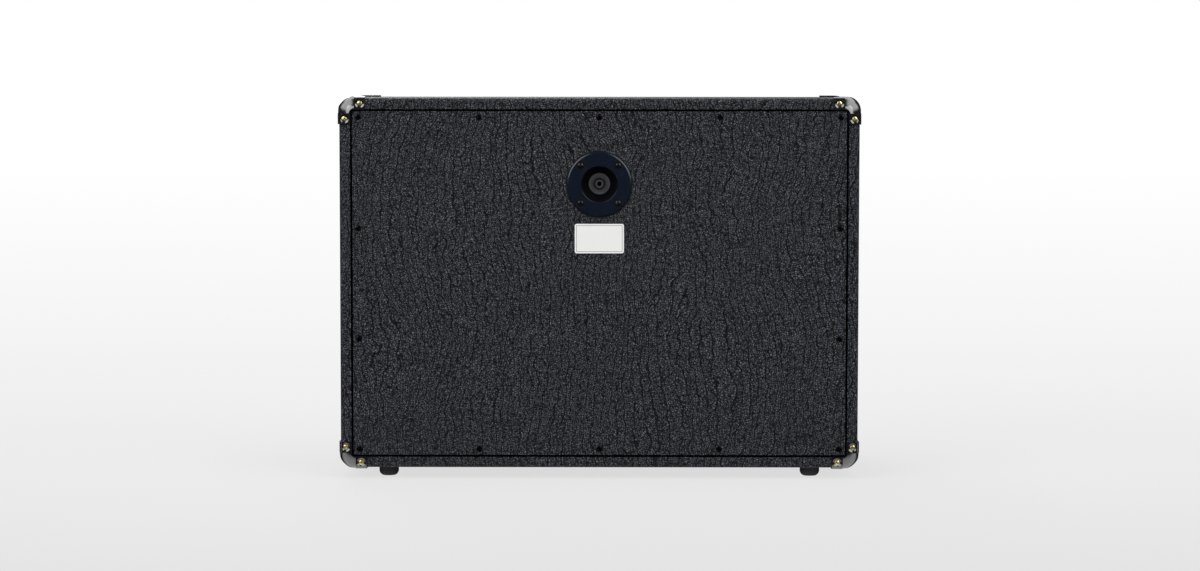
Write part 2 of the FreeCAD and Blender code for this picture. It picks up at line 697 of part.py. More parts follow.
def feet():
    """Four rubber feet, each held by a screw up a recess in its sole."""
    foot = turned("foot", (
        ("foot_sole_radius", "-foot_height", "foot_shoulder"),
        ("foot_radius", "-foot_wall"),
        ("foot_radius", "0"),
        ("small_screw_shank + screw_gap", "0"),
        ("small_screw_shank + screw_gap", "-foot_web"),
        ("foot_bore", "-foot_web"),
        ("foot_bore", "-foot_height"),
    ))
    fastener = wood_screw("foot_screw", "small_screw", "foot_screw_length")
    spots = []
    for sy, end in ((-1, "front"), (1, "rear")):
        for side, sx in SIDES:
            spot = (f"{sx} * ({HALF_WIDTH} - foot_inset_x)", f"{sy} * ({HALF_DEPTH} - foot_inset_y)")
            node(copies(f"foot_{end}_{side}", foot, [(*spot, "foot_height", None)]), f"foot_{end}_{side}")
            spots.append((*spot, "foot_height - foot_web", OUT["down"]))
    node(copies("foot_screws", fastener, spots), "foot_screws")


def handles():
    """Recessed side handles with a moulded grip; gives back the openings for their cups."""
    body = new_body("handle")
    plate = new_sketch(body, "XY_Plane")
    rounded(plate, "handle_width / 2", "handle_height / 2", "handle_corner")
    extrude(body, "Pad", plate, "handle_bezel")
    front = number("handle_bezel")
    soften(body, edges_where(body, lambda p: abs(p.z - front) < NEAR), "handle_rim")
    cup = new_sketch(body, "XY_Plane")
    rounded(cup, "cup_width / 2", "cup_height / 2", "cup_corner")
    extrude(body, "Pad", cup, "cup_depth", backwards=True, draft="-cup_draft")
    mouth = new_sketch(body, "XY_Plane", "handle_bezel")
    rounded(mouth, "(cup_width / 2 - cup_wall)", "(cup_height / 2 - cup_wall)", "cup_corner - cup_wall")
    extrude(body, "Pocket", mouth, "handle_bezel + cup_depth - cup_wall", draft="-cup_draft")
    grip = new_sketch(body, "YZ_Plane")
    grip_middle = "(grip_front - grip_thickness / 2)"
    rounded(grip, "grip_height / 2", "grip_thickness / 2", "grip_round", grip_middle)
    extrude(body, "Pad", grip, "cup_width - cup_wall", both_ways=True)
    holes = new_sketch(body, "XY_Plane")
    for sx in (-1, 1):
        for sz in (-1, 1):
            spot = (f"{sx} * handle_screw_x", f"{sz} * handle_screw_z")
            circle(holes, "small_screw_shank + screw_gap", *spot)
    through(body, holes)
    centre = f"({MIDDLE} + handle_above)"
    fastener = wood_screw("handle_screw", "small_screw", "small_screw_length")
    openings, spots = [], []
    for side, sx in SIDES:
        outside = f"{sx} * {HALF_WIDTH}"
        node(copies(f"{side}_handle", body, [(outside, "0", centre, OUT[side])]), f"{side}_handle")
        half = "(cup_width / 2 + cup_gap)"
        tall = "(cup_height / 2 + cup_gap)"
        reach = (f"{sx} * ({INNER_X} - cup_depth)", f"{sx} * ({HALF_WIDTH} + cup_depth)")
        near, far = sorted(reach, key=number)
        openings.append(box(
            f"{side}_handle_opening", (near, far), (f"-{half}", half),
            (f"{centre} - {tall}", f"{centre} + {tall}"),
        ))
        for sy in (-1, 1):
            for sz in (-1, 1):
                spots.append((
                    f"{sx} * ({HALF_WIDTH} + handle_bezel)", f"{sy} * handle_screw_x",
                    f"{centre} + {sz} * handle_screw_z", OUT[side],
                ))
    node(copies("handle_screws", fastener, spots), "handle_screws")
    return openings


def case_boards(form, seats, openings):
    """Top, bottom and side boards, lapped at the corners and rounded outside."""
    length = (f"-{HALF_DEPTH}", HALF_DEPTH)
    lap = f"({INNER_Z} + joint_lap)"
    for name, sz in (("top_panel", 1), ("bottom_panel", -1)):
        edges = sorted((f"{MIDDLE} + {sz} * {INNER_Z}", f"{MIDDLE} + {sz} * {HALF_HEIGHT}"), key=number)
        blank = box(f"{name}_blank", (f"-{HALF_WIDTH}", HALF_WIDTH), length, edges)
        rebate = sorted((f"{MIDDLE} + {sz} * {INNER_Z}", f"{MIDDLE} + {sz} * {lap}"), key=number)
        left = box(f"{name}_left_lap", (f"-{HALF_WIDTH}", f"-{INNER_X}"), length, rebate)
        right = box(f"{name}_right_lap", (INNER_X, HALF_WIDTH), length, rebate)
        board = common(f"{name}_round", cut(name, blank, left, right), form)
        node(cut(f"{name}_seated", board, seats), name)
    for (side, sx), opening in zip(SIDES, openings):
        name = f"{side}_side_panel"
        width = sorted((f"{sx} * {INNER_X}", f"{sx} * {HALF_WIDTH}"), key=number)
        blank = box(f"{name}_blank", width, length, (f"{MIDDLE} - {lap}", f"{MIDDLE} + {lap}"))
        board = common(f"{name}_round", blank, form)
        node(cut(f"{name}_seated", board, seats, opening), name)


def case_covering(form, seats, openings):
    """Vinyl over the case, turned in at the front to the baffle and at the back to the cleats."""
    outside = envelope("covering_form", "0")
    whole = ("-cab_depth", "cab_depth")
    mouth = ring_box("covering_mouth", OPEN_X, OPEN_Z, whole)
    boards = cut("board_ring", form, ring_box("board_space", INNER_X, INNER_Z, whole))
    bare = ring_box("covering_end", INNER_X, INNER_Z, (BAFFLE_FRONT, BACK_FRONT))
    node(cut("covering", outside, mouth, boards, bare, seats, *openings), "carcass_covering")


def cleats():
    """Square strips glued inside the case, behind the baffle and in front of the back panel."""
    bars = []
    for end, low in (("rear", f"{BACK_FRONT} - cleat_side"), ("front", BAFFLE_REAR)):
        y = (low, f"{low} + cleat_side")
        for sz in (-1, 1):
            edges = (f"{MIDDLE} + {sz} * {INNER_Z}", f"{MIDDLE} + {sz} * ({INNER_Z} - cleat_side)")
            z = sorted(edges, key=number)
            bars.append(box(f"{end}_cleat_z{sz + 1}", (f"-{INNER_X}", INNER_X), y, z))
        for side, sx in SIDES:
            x = sorted((f"{sx} * {INNER_X}", f"{sx} * ({INNER_X} - cleat_side)"), key=number)
            tall = f"({INNER_Z} - cleat_side)"
            bars.append(box(f"{end}_cleat_{side}", x, y, (f"{MIDDLE} - {tall}", f"{MIDDLE} + {tall}")))
    node(group("cleats", bars), "cleats")


def back_panel():
    """Covered back panel with its screws and the hole for the jack recess."""
    board_x, board_z = f"({BACK_X} - cover_thickness)", f"({BACK_Z} - cover_thickness)"
    blank = ring_box("back_board", board_x, board_z, (BACK_FRONT, BACK_REAR))
    around_dish = "dish_mouth + dish_wall + dish_gap"
    hole = rod("jack_opening", around_dish, "cab_depth", OUT["rear"], z=JACK_Z)
    node(cut("back_panel", blank, hole), "back_panel")
    skin = ring_box("back_skin", BACK_X, BACK_Z, (BACK_FRONT, BACK_FACE))
    node(cut("back_covering", skin, blank, hole), "back_covering")
    fastener = wood_screw("back_screw", "back_screw", "back_screw_length")
    columns, rows = int(number("back_screw_columns")), int(number("back_screw_rows"))
    span_x, span_z = f"({BACK_X} - back_screw_inset)", f"({BACK_Z} - back_screw_inset)"
    spots = []
    for column in range(columns):
        for row in range(rows):
            if column in (0, columns - 1) or row in (0, rows - 1):
                spots.append((
                    f"(2 * {column} / (back_screw_columns - 1) - 1) * {span_x}", BACK_FACE,
                    f"{MIDDLE} + (2 * {row} / (back_screw_rows - 1) - 1) * {span_z}", OUT["rear"],
                ))
    node(copies("back_panel_screws", fastener, spots), "back_panel_screws")


def baffle():
    """Loudspeaker board with two round openings."""
    half_x, half_z = f"({INNER_X} - baffle_gap)", f"({INNER_Z} - baffle_gap)"
    board = ring_box("baffle_blank", half_x, half_z, (BAFFLE_FRONT, BAFFLE_REAR))
    holes = [
        rod(f"{side}_cutout", "cutout_radius", "cab_depth", OUT["front"], f"{sx} * speaker_x", "0", MIDDLE)
        for side, sx in SIDES
    ]
    node(cut("baffle_board", board, *holes), "baffle_board")


def grille():
    """Framed grille cloth with piping round it, screwed on from behind the baffle."""
    frame_x, frame_z = f"({CLOTH_X} - cloth_thickness)", f"({CLOTH_Z} - cloth_thickness)"
    front = f"{BAFFLE_FRONT} - frame_thickness"
    blank = ring_box("grille_blank", frame_x, frame_z, (front, BAFFLE_FRONT))
    inner_z = f"({frame_z} - frame_width)"
    windows = []
    for side, sx in SIDES:
        x = sorted((f"{sx} * frame_width / 2", f"{sx} * ({frame_x} - frame_width)"), key=number)
        z = (f"{MIDDLE} - {inner_z}", f"{MIDDLE} + {inner_z}")
        windows.append(box(f"{side}_grille_window", x, ("-cab_depth", "0"), z))
    node(cut("grille_frame", blank, *windows), "grille_frame")
    skin = ring_box("grille_skin", CLOTH_X, CLOTH_Z, (f"{front} - cloth_thickness", BAFFLE_FRONT))
    node(cut("grille_cloth", skin, blank), "grille_cloth")
    piping = new_body("piping")
    section = new_sketch(piping, "XZ_Plane")
    for half_x, half_z in (
        (f"({OPEN_X} - grille_gap)", f"({OPEN_Z} - grille_gap)"),
        (f"({CLOTH_X} + grille_gap)", f"({CLOTH_Z} + grille_gap)"),
    ):
        outline(section, (
            (f"-{half_x}", f"-{half_z}"),
            (half_x, f"-{half_z}"),
            (half_x, half_z),
            (f"-{half_x}", half_z),
        ))
    extrude(piping, "Pad", section, "piping_depth")
    crown = -number("piping_depth")
    soften(piping, edges_where(piping, lambda p: abs(p.y - crown) < NEAR), "piping_crown")
    place(piping, y=BAFFLE_FRONT, z=MIDDLE)
    node(piping, "grille_piping")
    fastener = wood_screw("grille_screw", "small_screw", "grille_screw_length")
    screw_x = f"({INNER_X} - cleat_side - grille_screw_inset)"
    spots = [
        (f"{sx} * {screw_x}", BAFFLE_REAR, f"{MIDDLE} + {sz} * grille_screw_z", OUT["rear"])
        for sx in (-1, 1) for sz in (-1, 1)
    ]
    node(copies("grille_screws", fastener, spots), "grille_screws")


def jack():
    """Dished jack plate with its socket, ring nut, tip spring and screws."""
    here = (BACK_FACE, JACK_Z, OUT["rear"])
    plate = turned("dish", (
        ("bush_radius + bush_gap", "plate_thickness - dish_depth - dish_wall"),
        ("dish_floor + dish_wall", "plate_thickness - dish_depth - dish_wall"),
        ("dish_mouth + dish_wall", "0"),
        ("plate_radius", "0"),
        ("plate_radius", "plate_thickness - plate_bevel"),
        ("plate_radius - plate_bevel * 2", "plate_thickness"),
        ("dish_mouth + plate_bevel", "plate_thickness"),
        ("dish_mouth", "plate_thickness - plate_bevel"),
        ("dish_floor", "plate_thickness - dish_depth"),
        ("bush_radius + bush_gap", "plate_thickness - dish_depth"),
    ))
    recesses, holes = new_sketch(plate, "XY_Plane", "plate_thickness"), new_sketch(plate, "XY_Plane")
    for dx in (-1, 1):
        for dz in (-1, 1):
            spot = (f"{dx} * plate_screw_offset", f"{dz} * plate_screw_offset")
            circle(recesses, "plate_recess_radius", *spot)
            circle(holes, "small_screw_shank + screw_gap", *spot)
    extrude(plate, "Pocket", recesses, "plate_recess_depth")
    through(plate, holes)
    node(place(plate, "0", *here), "jack_plate")
    fastener = wood_screw("plate_screw", "small_screw", "small_screw_length")
    spots = [
        (f"{dx} * plate_screw_offset", f"{BACK_FACE} + plate_thickness - plate_recess_depth",
         f"{JACK_Z} + {dz} * plate_screw_offset", OUT["rear"])
        for dx in (-1, 1) for dz in (-1, 1)
    ]
    node(copies("jack_plate_screws", fastener, spots), "jack_plate_screws")
    socket = new_body("socket")
    half = "socket_width / 2"
    case = outline(new_sketch(socket, "XY_Plane"), (
        (f"-{half}", "-socket_above"),
        (half, "-socket_above"),
        (half, "socket_below"),
        (f"-{half}", "socket_below"),
    ))
    extrude(socket, "Pad", case, "socket_depth", backwards=True)
    extrude(socket, "Pad", circle(new_sketch(socket, "XY_Plane"), "bush_radius"), "bush_length")
    bore = circle(new_sketch(socket, "XY_Plane", "bush_length"), "jack_bore")
    extrude(socket, "Pocket", bore, "bush_length + chamber_wall")
    room = "(jack_bore + chamber_room)"
    chamber = outline(new_sketch(socket, "XY_Plane", "-socket_depth"), (
        (f"-{room}", "-chamber_top"), (room, "-chamber_top"), (room, room), (f"-{room}", room),
    ))
    extrude(socket, "Pocket", chamber, "socket_depth - chamber_wall", backwards=True)
    node(place(socket, "0", SOCKET_FRONT, JACK_Z, OUT["rear"]), "jack_housing")
    nut = turned("ring_nut", (
        ("bush_radius + bush_gap", "0"), ("nut_radius", "0"), ("nut_radius", "nut_thickness"),
        ("bush_radius + bush_gap", "nut_thickness"),
    ))
    node(place(nut, "0", DISH_FLOOR, JACK_Z, OUT["rear"]), "jack_nut")
    spring = new_body("tip_spring")
    root, bend, tip = "-socket_depth + spring_root", "-spring_bend", "-chamber_wall - spring_root"
    strip = outline(new_sketch(spring, "YZ_Plane"), (
        ("-spring_height", root),
        ("-spring_height", bend),
        ("-spring_dip", f"({bend} + {tip}) / 2"),
        ("-spring_dip * 2", tip),
        ("-spring_dip * 2 - spring_gauge", tip),
        ("-spring_dip - spring_gauge", f"({bend} + {tip}) / 2"),
        ("-spring_height - spring_gauge", bend),
        ("-spring_height - spring_gauge", root),
    ))
    extrude(spring, "Pad", strip, f"2 * ({room} - spring_gap)", both_ways=True)
    node(place(spring, "0", SOCKET_FRONT, JACK_Z, OUT["rear"]), "jack_tip_spring")
    label = new_body("label")
    rounded_label = new_sketch(label, "XY_Plane")
    rounded(rounded_label, "label_width / 2", "label_height / 2", "label_corner")
    extrude(label, "Pad", rounded_label, "label_thickness")
    node(place(label, "0", BACK_FACE, f"{MIDDLE} + label_above", OUT["rear"]), "rating_label")


def ripple(start, end, height, folds, wall):
    """Front and rear lines of a folded strip from one radius and depth to another."""
    front, rear = [], []
    for fold in range(folds + 1):
        share = f"{fold} / {folds}"
        swing = 0 if fold in (0, folds) else (-1) ** (fold + 1)
        radius = f"{start[0]} + ({end[0]} - {start[0]}) * {share}"
        depth = f"{start[1]} + ({end[1]} - {start[1]}) * {share} + {swing} * {height} / 2"
        front.append((radius, depth))
        rear.append((radius, f"{depth} + {wall}"))
    return front, rear[::-1]


def basket_form():
    """Pressed basket with windows and screw holes."""
    body = turned("basket", (
        ("flange_radius", FLANGE_FRONT),
        ("basket_mouth", FLANGE_FRONT),
        ("seat_radius", "seat_depth"),
        ("neck_radius", "seat_depth"),
        ("neck_radius", f"{POLE_FRONT} - basket_gauge"),
        ("base_hole", f"{POLE_FRONT} - basket_gauge"),
        ("base_hole", POLE_FRONT),
        ("neck_radius + basket_gauge", POLE_FRONT),
        ("neck_radius + basket_gauge", SEAT_REAR),
        ("seat_radius + basket_slant", SEAT_REAR),
        ("basket_mouth + basket_slant", FLANGE_REAR),
        ("flange_radius", FLANGE_REAR),
    ))
    window = outline(new_sketch(body, "XY_Plane"), (
        ("window_inner", "-window_inner_width / 2"),
        ("window_outer", "-window_outer_width / 2"),
        ("window_outer", "window_outer_width / 2"),
        ("window_inner", "window_inner_width / 2"),
    ))
    around(body, through(body, window), "window_count")
    half_turn = "(180 deg / speaker_screw_count)"
    hole = new_sketch(body, "XY_Plane")
    circle(
        hole, "speaker_screw_shank + screw_gap",
        f"screw_circle * cos({half_turn})", f"screw_circle * sin({half_turn})",
    )
    around(body, through(body, hole), "speaker_screw_count")
    return body


def surround_form():
    """Doped cloth surround, folded between the cone's edge and the flange."""
    start = ("(cone_mouth + flex_gap)", "(cone_edge_depth + flex_gap)")
    end = ("(basket_mouth + basket_slant)", "gasket_thickness")
    front, rear = ripple(start, end, "surround_ripple", 3, "surround_wall")
    return turned("surround", (
        *front, ("surround_rim", "gasket_thickness"), ("surround_rim", FLANGE_FRONT), *rear,
    ))


def spider_form():
    """Corrugated spider from the former to its seat in the basket."""
    start = ("(coil_radius + former_wall + flex_gap)", "(cone_neck_depth + spider_wall * 4)")
    end = ("spider_ripples_end", "(seat_depth - spider_wall)")
    front, rear = ripple(start, end, "spider_ripple", 5, "spider_wall")
    rim = "seat_radius - spider_wall"
    return turned("spider", (*front, (rim, "seat_depth - spider_wall"), (rim, "seat_depth"), *rear))


def cone_form():
    """Paper cone."""
    return turned("cone", (
        (CONE_NECK, "cone_neck_depth"),
        ("cone_mouth", "cone_edge_depth"),
        ("cone_mouth", "cone_edge_depth + cone_wall"),
        (CONE_NECK, "cone_neck_depth + cone_wall"),
    ))


def dust_cap_form():
    """Domed dust cap on the front of the cone."""
    rim = f"(cone_neck_depth - (cap_radius - {CONE_NECK}) * {CONE_SLOPE} - cone_bond)"
    dome = "((cap_radius ^ 2 + cap_rise ^ 2) / (2 * cap_rise))"
    domes = []
    for name, radius in (("outer", dome), ("inner", f"({dome} - cap_wall)")):
        ball = doc.addObject("Part::Sphere", f"cap_{name}_dome")
        ball.setExpression("Radius", bound(radius))
        domes.append(place(ball, z=f"{rim} - cap_rise + {dome}"))
    across = ("-cap_radius * 2", "cap_radius * 2")
    slice_box = box("cap_slice", across, across, (f"{rim} - cap_rise * 2", rim))
    return common("dust_cap", cut("cap_shell", *domes), slice_box)


def voice_coil_form():
    """Voice-coil former with its winding."""
    outside = "coil_radius + former_wall"
    return turned("voice_coil", (
        ("coil_radius", "former_start"),
        (outside, "former_start"),
        (outside, "winding_start"),
        (f"{outside} + winding_wall", "winding_start"),
        (f"{outside} + winding_wall", "winding_start + winding_length"),
        ("coil_radius", "winding_start + winding_length"),
    ))


def ring_form(name, inside, outside, front, thickness):
    """Flat ring of a drive unit."""
    rear = f"{front} + {thickness}"
    return turned(name, ((inside, front), (outside, front), (outside, rear), (inside, rear)))


def pole_form():
    """Yoke plate with its vented pole."""
    yoke = f"({POLE_FRONT} + top_plate_thickness + magnet_thickness)"
    return turned("pole", (
        ("pole_vent", POLE_FRONT),
        ("pole_radius", POLE_FRONT),
        ("pole_radius", yoke),
        ("top_plate_radius", yoke),
        ("top_plate_radius", f"{yoke} + yoke_thickness"),
        ("pole_vent", f"{yoke} + yoke_thickness"),
    ))


def terminal_form():
    """Terminal board with two solder tags, on the rear of the spider seat."""
    board = box(
        "tag_board", ("-tag_board_width / 2", "tag_board_width / 2"),
        ("-tag_board_inner - tag_board_length", "-tag_board_inner"), (SEAT_REAR, TAG_FRONT),
    )
    tags = [
        box(
            f"{side}_tag", (f"{sx} * tag_spread - tag_width / 2", f"{sx} * tag_spread + tag_width / 2"),
            (f"-{TAG_END}", "-tag_board_inner - tag_overlap"), (TAG_FRONT, f"{TAG_FRONT} + tag_gauge"),
        )
        for side, sx in SIDES
    ]
    return group("terminal", [board, *tags])


def bent_route(route, bend):
    """Straight runs between points, joined by tangent arcs."""
    points = [V(*(number(formula) for formula in point)) for point in route]
    radius = number(bend)
    edges = []
    start = points[0]
    for before, corner, after in zip(points, points[1:], points[2:]):
        into, out = (corner - before).normalize(), (after - corner).normalize()
        half = into.getAngle(out) / 2
        first = corner - into * radius * math.tan(half)
        last = corner + out * radius * math.tan(half)
        crown = corner + (out - into).normalize() * radius * (1 / math.cos(half) - 1)
        edges.append(Part.LineSegment(start, first).toShape())
        edges.append(Part.Arc(first, crown, last).toShape())
        start = last
    edges.append(Part.LineSegment(start, points[-1]).toShape())
    return edges


def tube(name, radius, edges):
    """Round wire along a route; prints how true its volume is."""
    path = doc.addObject("Part::Feature", f"{name}_path")
    path.Shape = Part.Wire(edges)
    first = edges[0]
    section = doc.addObject("Part::Circle", f"{name}_section")
    section.setExpression("Radius", bound(radius))
    along = FreeCAD.Rotation(Z_AXIS, first.tangentAt(first.FirstParameter))
    section.Placement = FreeCAD.Placement(first.valueAt(first.FirstParameter), along)
    sweep = doc.addObject("Part::Sweep", name)
    sweep.Sections = [section]
    sweep.Spine = (path, [f"Edge{count + 1}" for count in range(len(edges))])
    sweep.Solid = True
    doc.recompute()
    ideal = math.pi * number(radius) ** 2 * path.Shape.Length
    print(name, "volume over section times length:", round(sweep.Shape.Volume / ideal, 4))
    return sweep


def tinsel_form():
    """Two flexible leads, bowed from the solder tags through a window to the back of the cone."""
    cone_rear = f"(cone_neck_depth + cone_wall - (lead_landing - {CONE_NECK}) * {CONE_SLOPE})"
    leads = []
    for side, sx in SIDES:
        route = (
            (f"-({TAG_END} - lead_inset)", f"{TAG_FRONT} - flex_gap"),
            ("-lead_bow", "lead_bow_depth"),
            ("-lead_landing", f"{cone_rear} + lead_radius + 2 * flex_gap"),
        )
        points = [V(number(f"{sx} * tag_spread"), number(y), number(z)) for y, z in route]
        leads.append(tube(f"{side}_tinsel", "lead_radius", [Part.Arc(*points).toShape()]))
    return group("tinsel", leads)


def loudspeakers():
    """Two drive units on the rear of the baffle, with their screws."""
    spots = {side: (f"{sx} * speaker_x", BAFFLE_REAR, MIDDLE, OUT["rear"]) for side, sx in SIDES}
    single = {
        "basket": basket_form(), "cone": cone_form(), "dust_cap": dust_cap_form(),
        "voice_coil": voice_coil_form(), "surround": surround_form(), "spider": spider_form(),
        "tinsel_leads": tinsel_form(),
    }
    for piece, form in single.items():
        for side, spot in spots.items():
            node(copies(f"{side}_{piece}", form, [spot]), f"{side}_{piece}")
    magnet_front = f"({POLE_FRONT} + top_plate_thickness)"
    paired = {
        "speaker_gaskets": ring_form("gasket", "gasket_inner", "surround_rim", "0", "gasket_thickness"),
        "speaker_top_plates": ring_form(
            "top_plate", "gap_radius", "top_plate_radius", POLE_FRONT, "top_plate_thickness"),
        "speaker_magnets": ring_form(
            "magnet", "magnet_bore", "magnet_radius", magnet_front, "magnet_thickness"),
        "speaker_pole_pieces": pole_form(),
        "speaker_terminals": terminal_form(),
    }
    for label, form in paired.items():
        node(copies(label, form, list(spots.values())), label)
    fastener = screw(
        "speaker_screw", "speaker_screw_head", "speaker_screw_head_height", "speaker_screw_shank",
        "speaker_screw_length",
    )
    screws = []
    for _, sx in SIDES:
        for count in range(int(number("speaker_screw_count"))):
            angle = f"(360 deg * ({count} + 0.5) / speaker_screw_count)"
            screws.append((
                f"{sx} * speaker_x + screw_circle * cos({angle})", f"{BAFFLE_REAR} + {FLANGE_REAR}",
                f"{MIDDLE} + screw_circle * sin({angle})", OUT["rear"],
            ))
    node(copies("speaker_screws", fastener, screws), "speaker_screws")


def wiring():
    """Cable from the jack to each loudspeaker, clipped under the top board."""
    rise = f"{SOCKET_FRONT} - socket_depth + cable_inset"
    cables, clips = [], []
    reach = "(cable_radius + clip_wall)"
    height = (f"{CABLE_Z} - {reach}", f"{MIDDLE} + {INNER_Z}")
    half = "clip_length / 2"
    bore = "cable_radius + clip_gap"
    bores = []
    for side, sx in SIDES:
        x, far = f"{sx} * cable_spacing", f"{sx} * speaker_x"
        cables.append(tube(f"{side}_cable", "cable_radius", bent_route((
            (x, rise, f"{JACK_Z} + socket_above + flex_gap"), (x, rise, CABLE_Z), (x, CABLE_Y, CABLE_Z),
            (far, CABLE_Y, CABLE_Z), (far, CABLE_Y, f"{MIDDLE} + {TAG_END} + flex_gap"),
        ), "cable_bend")))
        bores.append(rod(f"{side}_clip_bore", bore, "cab_depth", OUT["front"], x, HALF_DEPTH, CABLE_Z))
        block = box(
            f"{side}_clip_block", (f"{sx} * clip_x - {half}", f"{sx} * clip_x + {half}"),
            (f"{CABLE_Y} - {reach}", f"{CABLE_Y} + {reach}"), height,
        )
        way = rod(f"{side}_clip_way", bore, "speaker_x", OUT[side], "0", CABLE_Y, CABLE_Z)
        clips.append(cut(f"{side}_clip", block, way))
    wide = f"(cable_spacing + {reach})"
    block = box("rear_clip_block", (f"-{wide}", wide), (f"clip_y - {half}", f"clip_y + {half}"), height)
    clips.append(cut("rear_clip", block, *bores))
    node(group("speaker_cables", cables), "speaker_cables")
    node(group("cable_clips", clips), "cable_clips")


board_form = envelope("board_form", "cover_thickness")
corner_seats = case_corners()
handle_openings = handles()
case_boards(board_form, corner_seats, handle_openings)
case_covering(board_form, corner_seats, handle_openings)
corner_screws()
feet()
cleats()
back_panel()
baffle()
grille()
jack()
loudspeakers()
wiring()
check_and_write()
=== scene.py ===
import json
import math

import bmesh
import bpy
from mathutils import Matrix, Vector


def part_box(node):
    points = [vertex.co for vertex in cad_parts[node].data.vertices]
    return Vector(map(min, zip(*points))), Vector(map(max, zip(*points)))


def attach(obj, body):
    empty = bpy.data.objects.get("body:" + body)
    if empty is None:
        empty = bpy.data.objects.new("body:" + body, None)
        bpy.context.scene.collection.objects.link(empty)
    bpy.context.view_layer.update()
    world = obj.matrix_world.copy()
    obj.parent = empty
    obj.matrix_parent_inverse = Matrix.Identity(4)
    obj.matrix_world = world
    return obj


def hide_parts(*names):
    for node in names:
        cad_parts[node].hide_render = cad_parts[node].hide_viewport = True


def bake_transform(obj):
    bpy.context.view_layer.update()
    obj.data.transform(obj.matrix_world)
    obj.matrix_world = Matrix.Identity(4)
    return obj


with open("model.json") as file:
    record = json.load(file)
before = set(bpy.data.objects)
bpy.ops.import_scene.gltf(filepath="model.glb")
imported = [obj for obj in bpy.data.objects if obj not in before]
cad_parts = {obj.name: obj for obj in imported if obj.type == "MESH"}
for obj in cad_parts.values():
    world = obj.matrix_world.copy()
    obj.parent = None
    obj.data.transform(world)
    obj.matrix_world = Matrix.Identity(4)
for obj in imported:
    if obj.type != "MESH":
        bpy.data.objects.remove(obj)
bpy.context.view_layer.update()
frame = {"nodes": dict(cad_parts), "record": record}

NODES = frame["nodes"]
SLOT_OF = {row["node"]: row["material_slot"] for row in frame["record"]["subparts"]}
CASE = "cabinet"
MM = 0.001
SAME_POINT = 0.01 * MM


# Colours and nodes
def tint(red, green, blue):
    """A colour written as it looks on a screen, 0 to 255, in the linear values of a shader."""
    def linear(level):
        level /= 255
        return level / 12.92 if level <= 0.04045 else ((level + 0.055) / 1.055) ** 2.4

    return (linear(red), linear(green), linear(blue), 1.0)


class NodeBoard:
    """Puts nodes on a tree. An input takes a plain value or another node's output."""

    def __init__(self, tree):
        self.tree = tree

    def feed(self, socket, value):
        if isinstance(value, bpy.types.NodeSocket):
            self.tree.links.new(value, socket)
        else:
            socket.default_value = value

    def put(self, kind, inputs=None, **settings):
        node = self.tree.nodes.new(kind)
        for name, value in settings.items():
            setattr(node, name, value)
        for name, value in (inputs or {}).items():
            self.feed(node.inputs[name], value)
        return node

    def math(self, operation, *values):
        return self.put("ShaderNodeMath", dict(enumerate(values)), operation=operation).outputs[0]

    def vector(self, operation, *values):
        node = self.put("ShaderNodeVectorMath", dict(enumerate(values)), operation=operation)
        plain_number = operation in {"DOT_PRODUCT", "LENGTH"}
        return node.outputs["Value" if plain_number else "Vector"]

    def scaled(self, vector, factor):
        node = self.put("ShaderNodeVectorMath", {0: vector, "Scale": factor}, operation="SCALE")
        return node.outputs["Vector"]

    def parts(self, vector):
        return self.put("ShaderNodeSeparateXYZ", {0: vector}).outputs

    def step(self, value, low, high):
        """0 below low, 1 above high, and a soft rise between."""
        inputs = {"Value": value, "From Min": low, "From Max": high}
        node = self.put("ShaderNodeMapRange", inputs, interpolation_type="SMOOTHSTEP")
        return node.outputs[0]

    def span(self, value, low, high):
        """A 0 to 1 value stretched to run from low to high."""
        return self.put("ShaderNodeMapRange", {"Value": value, "To Min": low, "To Max": high}).outputs[0]

    def mix(self, factor, first, second):
        inputs = {0: factor, 6: first, 7: second}
        return self.put("ShaderNodeMix", inputs, data_type="RGBA").outputs[2]

    def place(self):
        return self.put("ShaderNodeTexCoord").outputs["Object"]

    def from_middle(self, node):
        """Place across, back and up from the middle of a CAD node, and half the node's size."""
        low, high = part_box(node)
        away = self.vector("SUBTRACT", self.place(), tuple((low + high) / 2))
        return self.parts(away), (high - low) / 2

    def noise(self, vector, size, detail=2.0, roughness=0.5):
        """Noise whose lumps are about this size across."""
        inputs = {"Vector": vector, "Scale": self.per(size), "Detail": detail, "Roughness": roughness}
        return self.put("ShaderNodeTexNoise", inputs)

    def cells(self, vector, size):
        """Distance to the nearest edge of flat cells about this size across, in cells."""
        inputs = {"Vector": vector, "Scale": self.per(size)}
        node = self.put("ShaderNodeTexVoronoi", inputs, feature="DISTANCE_TO_EDGE", voronoi_dimensions="2D")
        return node.outputs["Distance"]

    def per(self, size):
        if isinstance(size, bpy.types.NodeSocket):
            return self.math("DIVIDE", 1.0, size)
        return 1.0 / size

    def group(self, tree, **inputs):
        node = self.put("ShaderNodeGroup", node_tree=tree)
        for name, value in inputs.items():
            self.feed(node.inputs[name.replace("_", " ")], value)
        return node.outputs


# Effects shared by several finishes
SOCKETS = {float: "NodeSocketFloat", int: "NodeSocketInt", tuple: "NodeSocketVector"}


def effect_group(name, inputs, outputs):
    """A shader group with named sockets; gives its board, its inputs and its exit node."""
    tree = bpy.data.node_groups.new(name, "ShaderNodeTree")
    for label, value in inputs.items():
        socket = tree.interface.new_socket(label, in_out="INPUT", socket_type=SOCKETS[type(value)])
        socket.default_value = value
    for label in outputs:
        tree.interface.new_socket(label, in_out="OUTPUT", socket_type="NodeSocketFloat")
    board = NodeBoard(tree)
    return board, board.put("NodeGroupInput").outputs, board.put("NodeGroupOutput").inputs


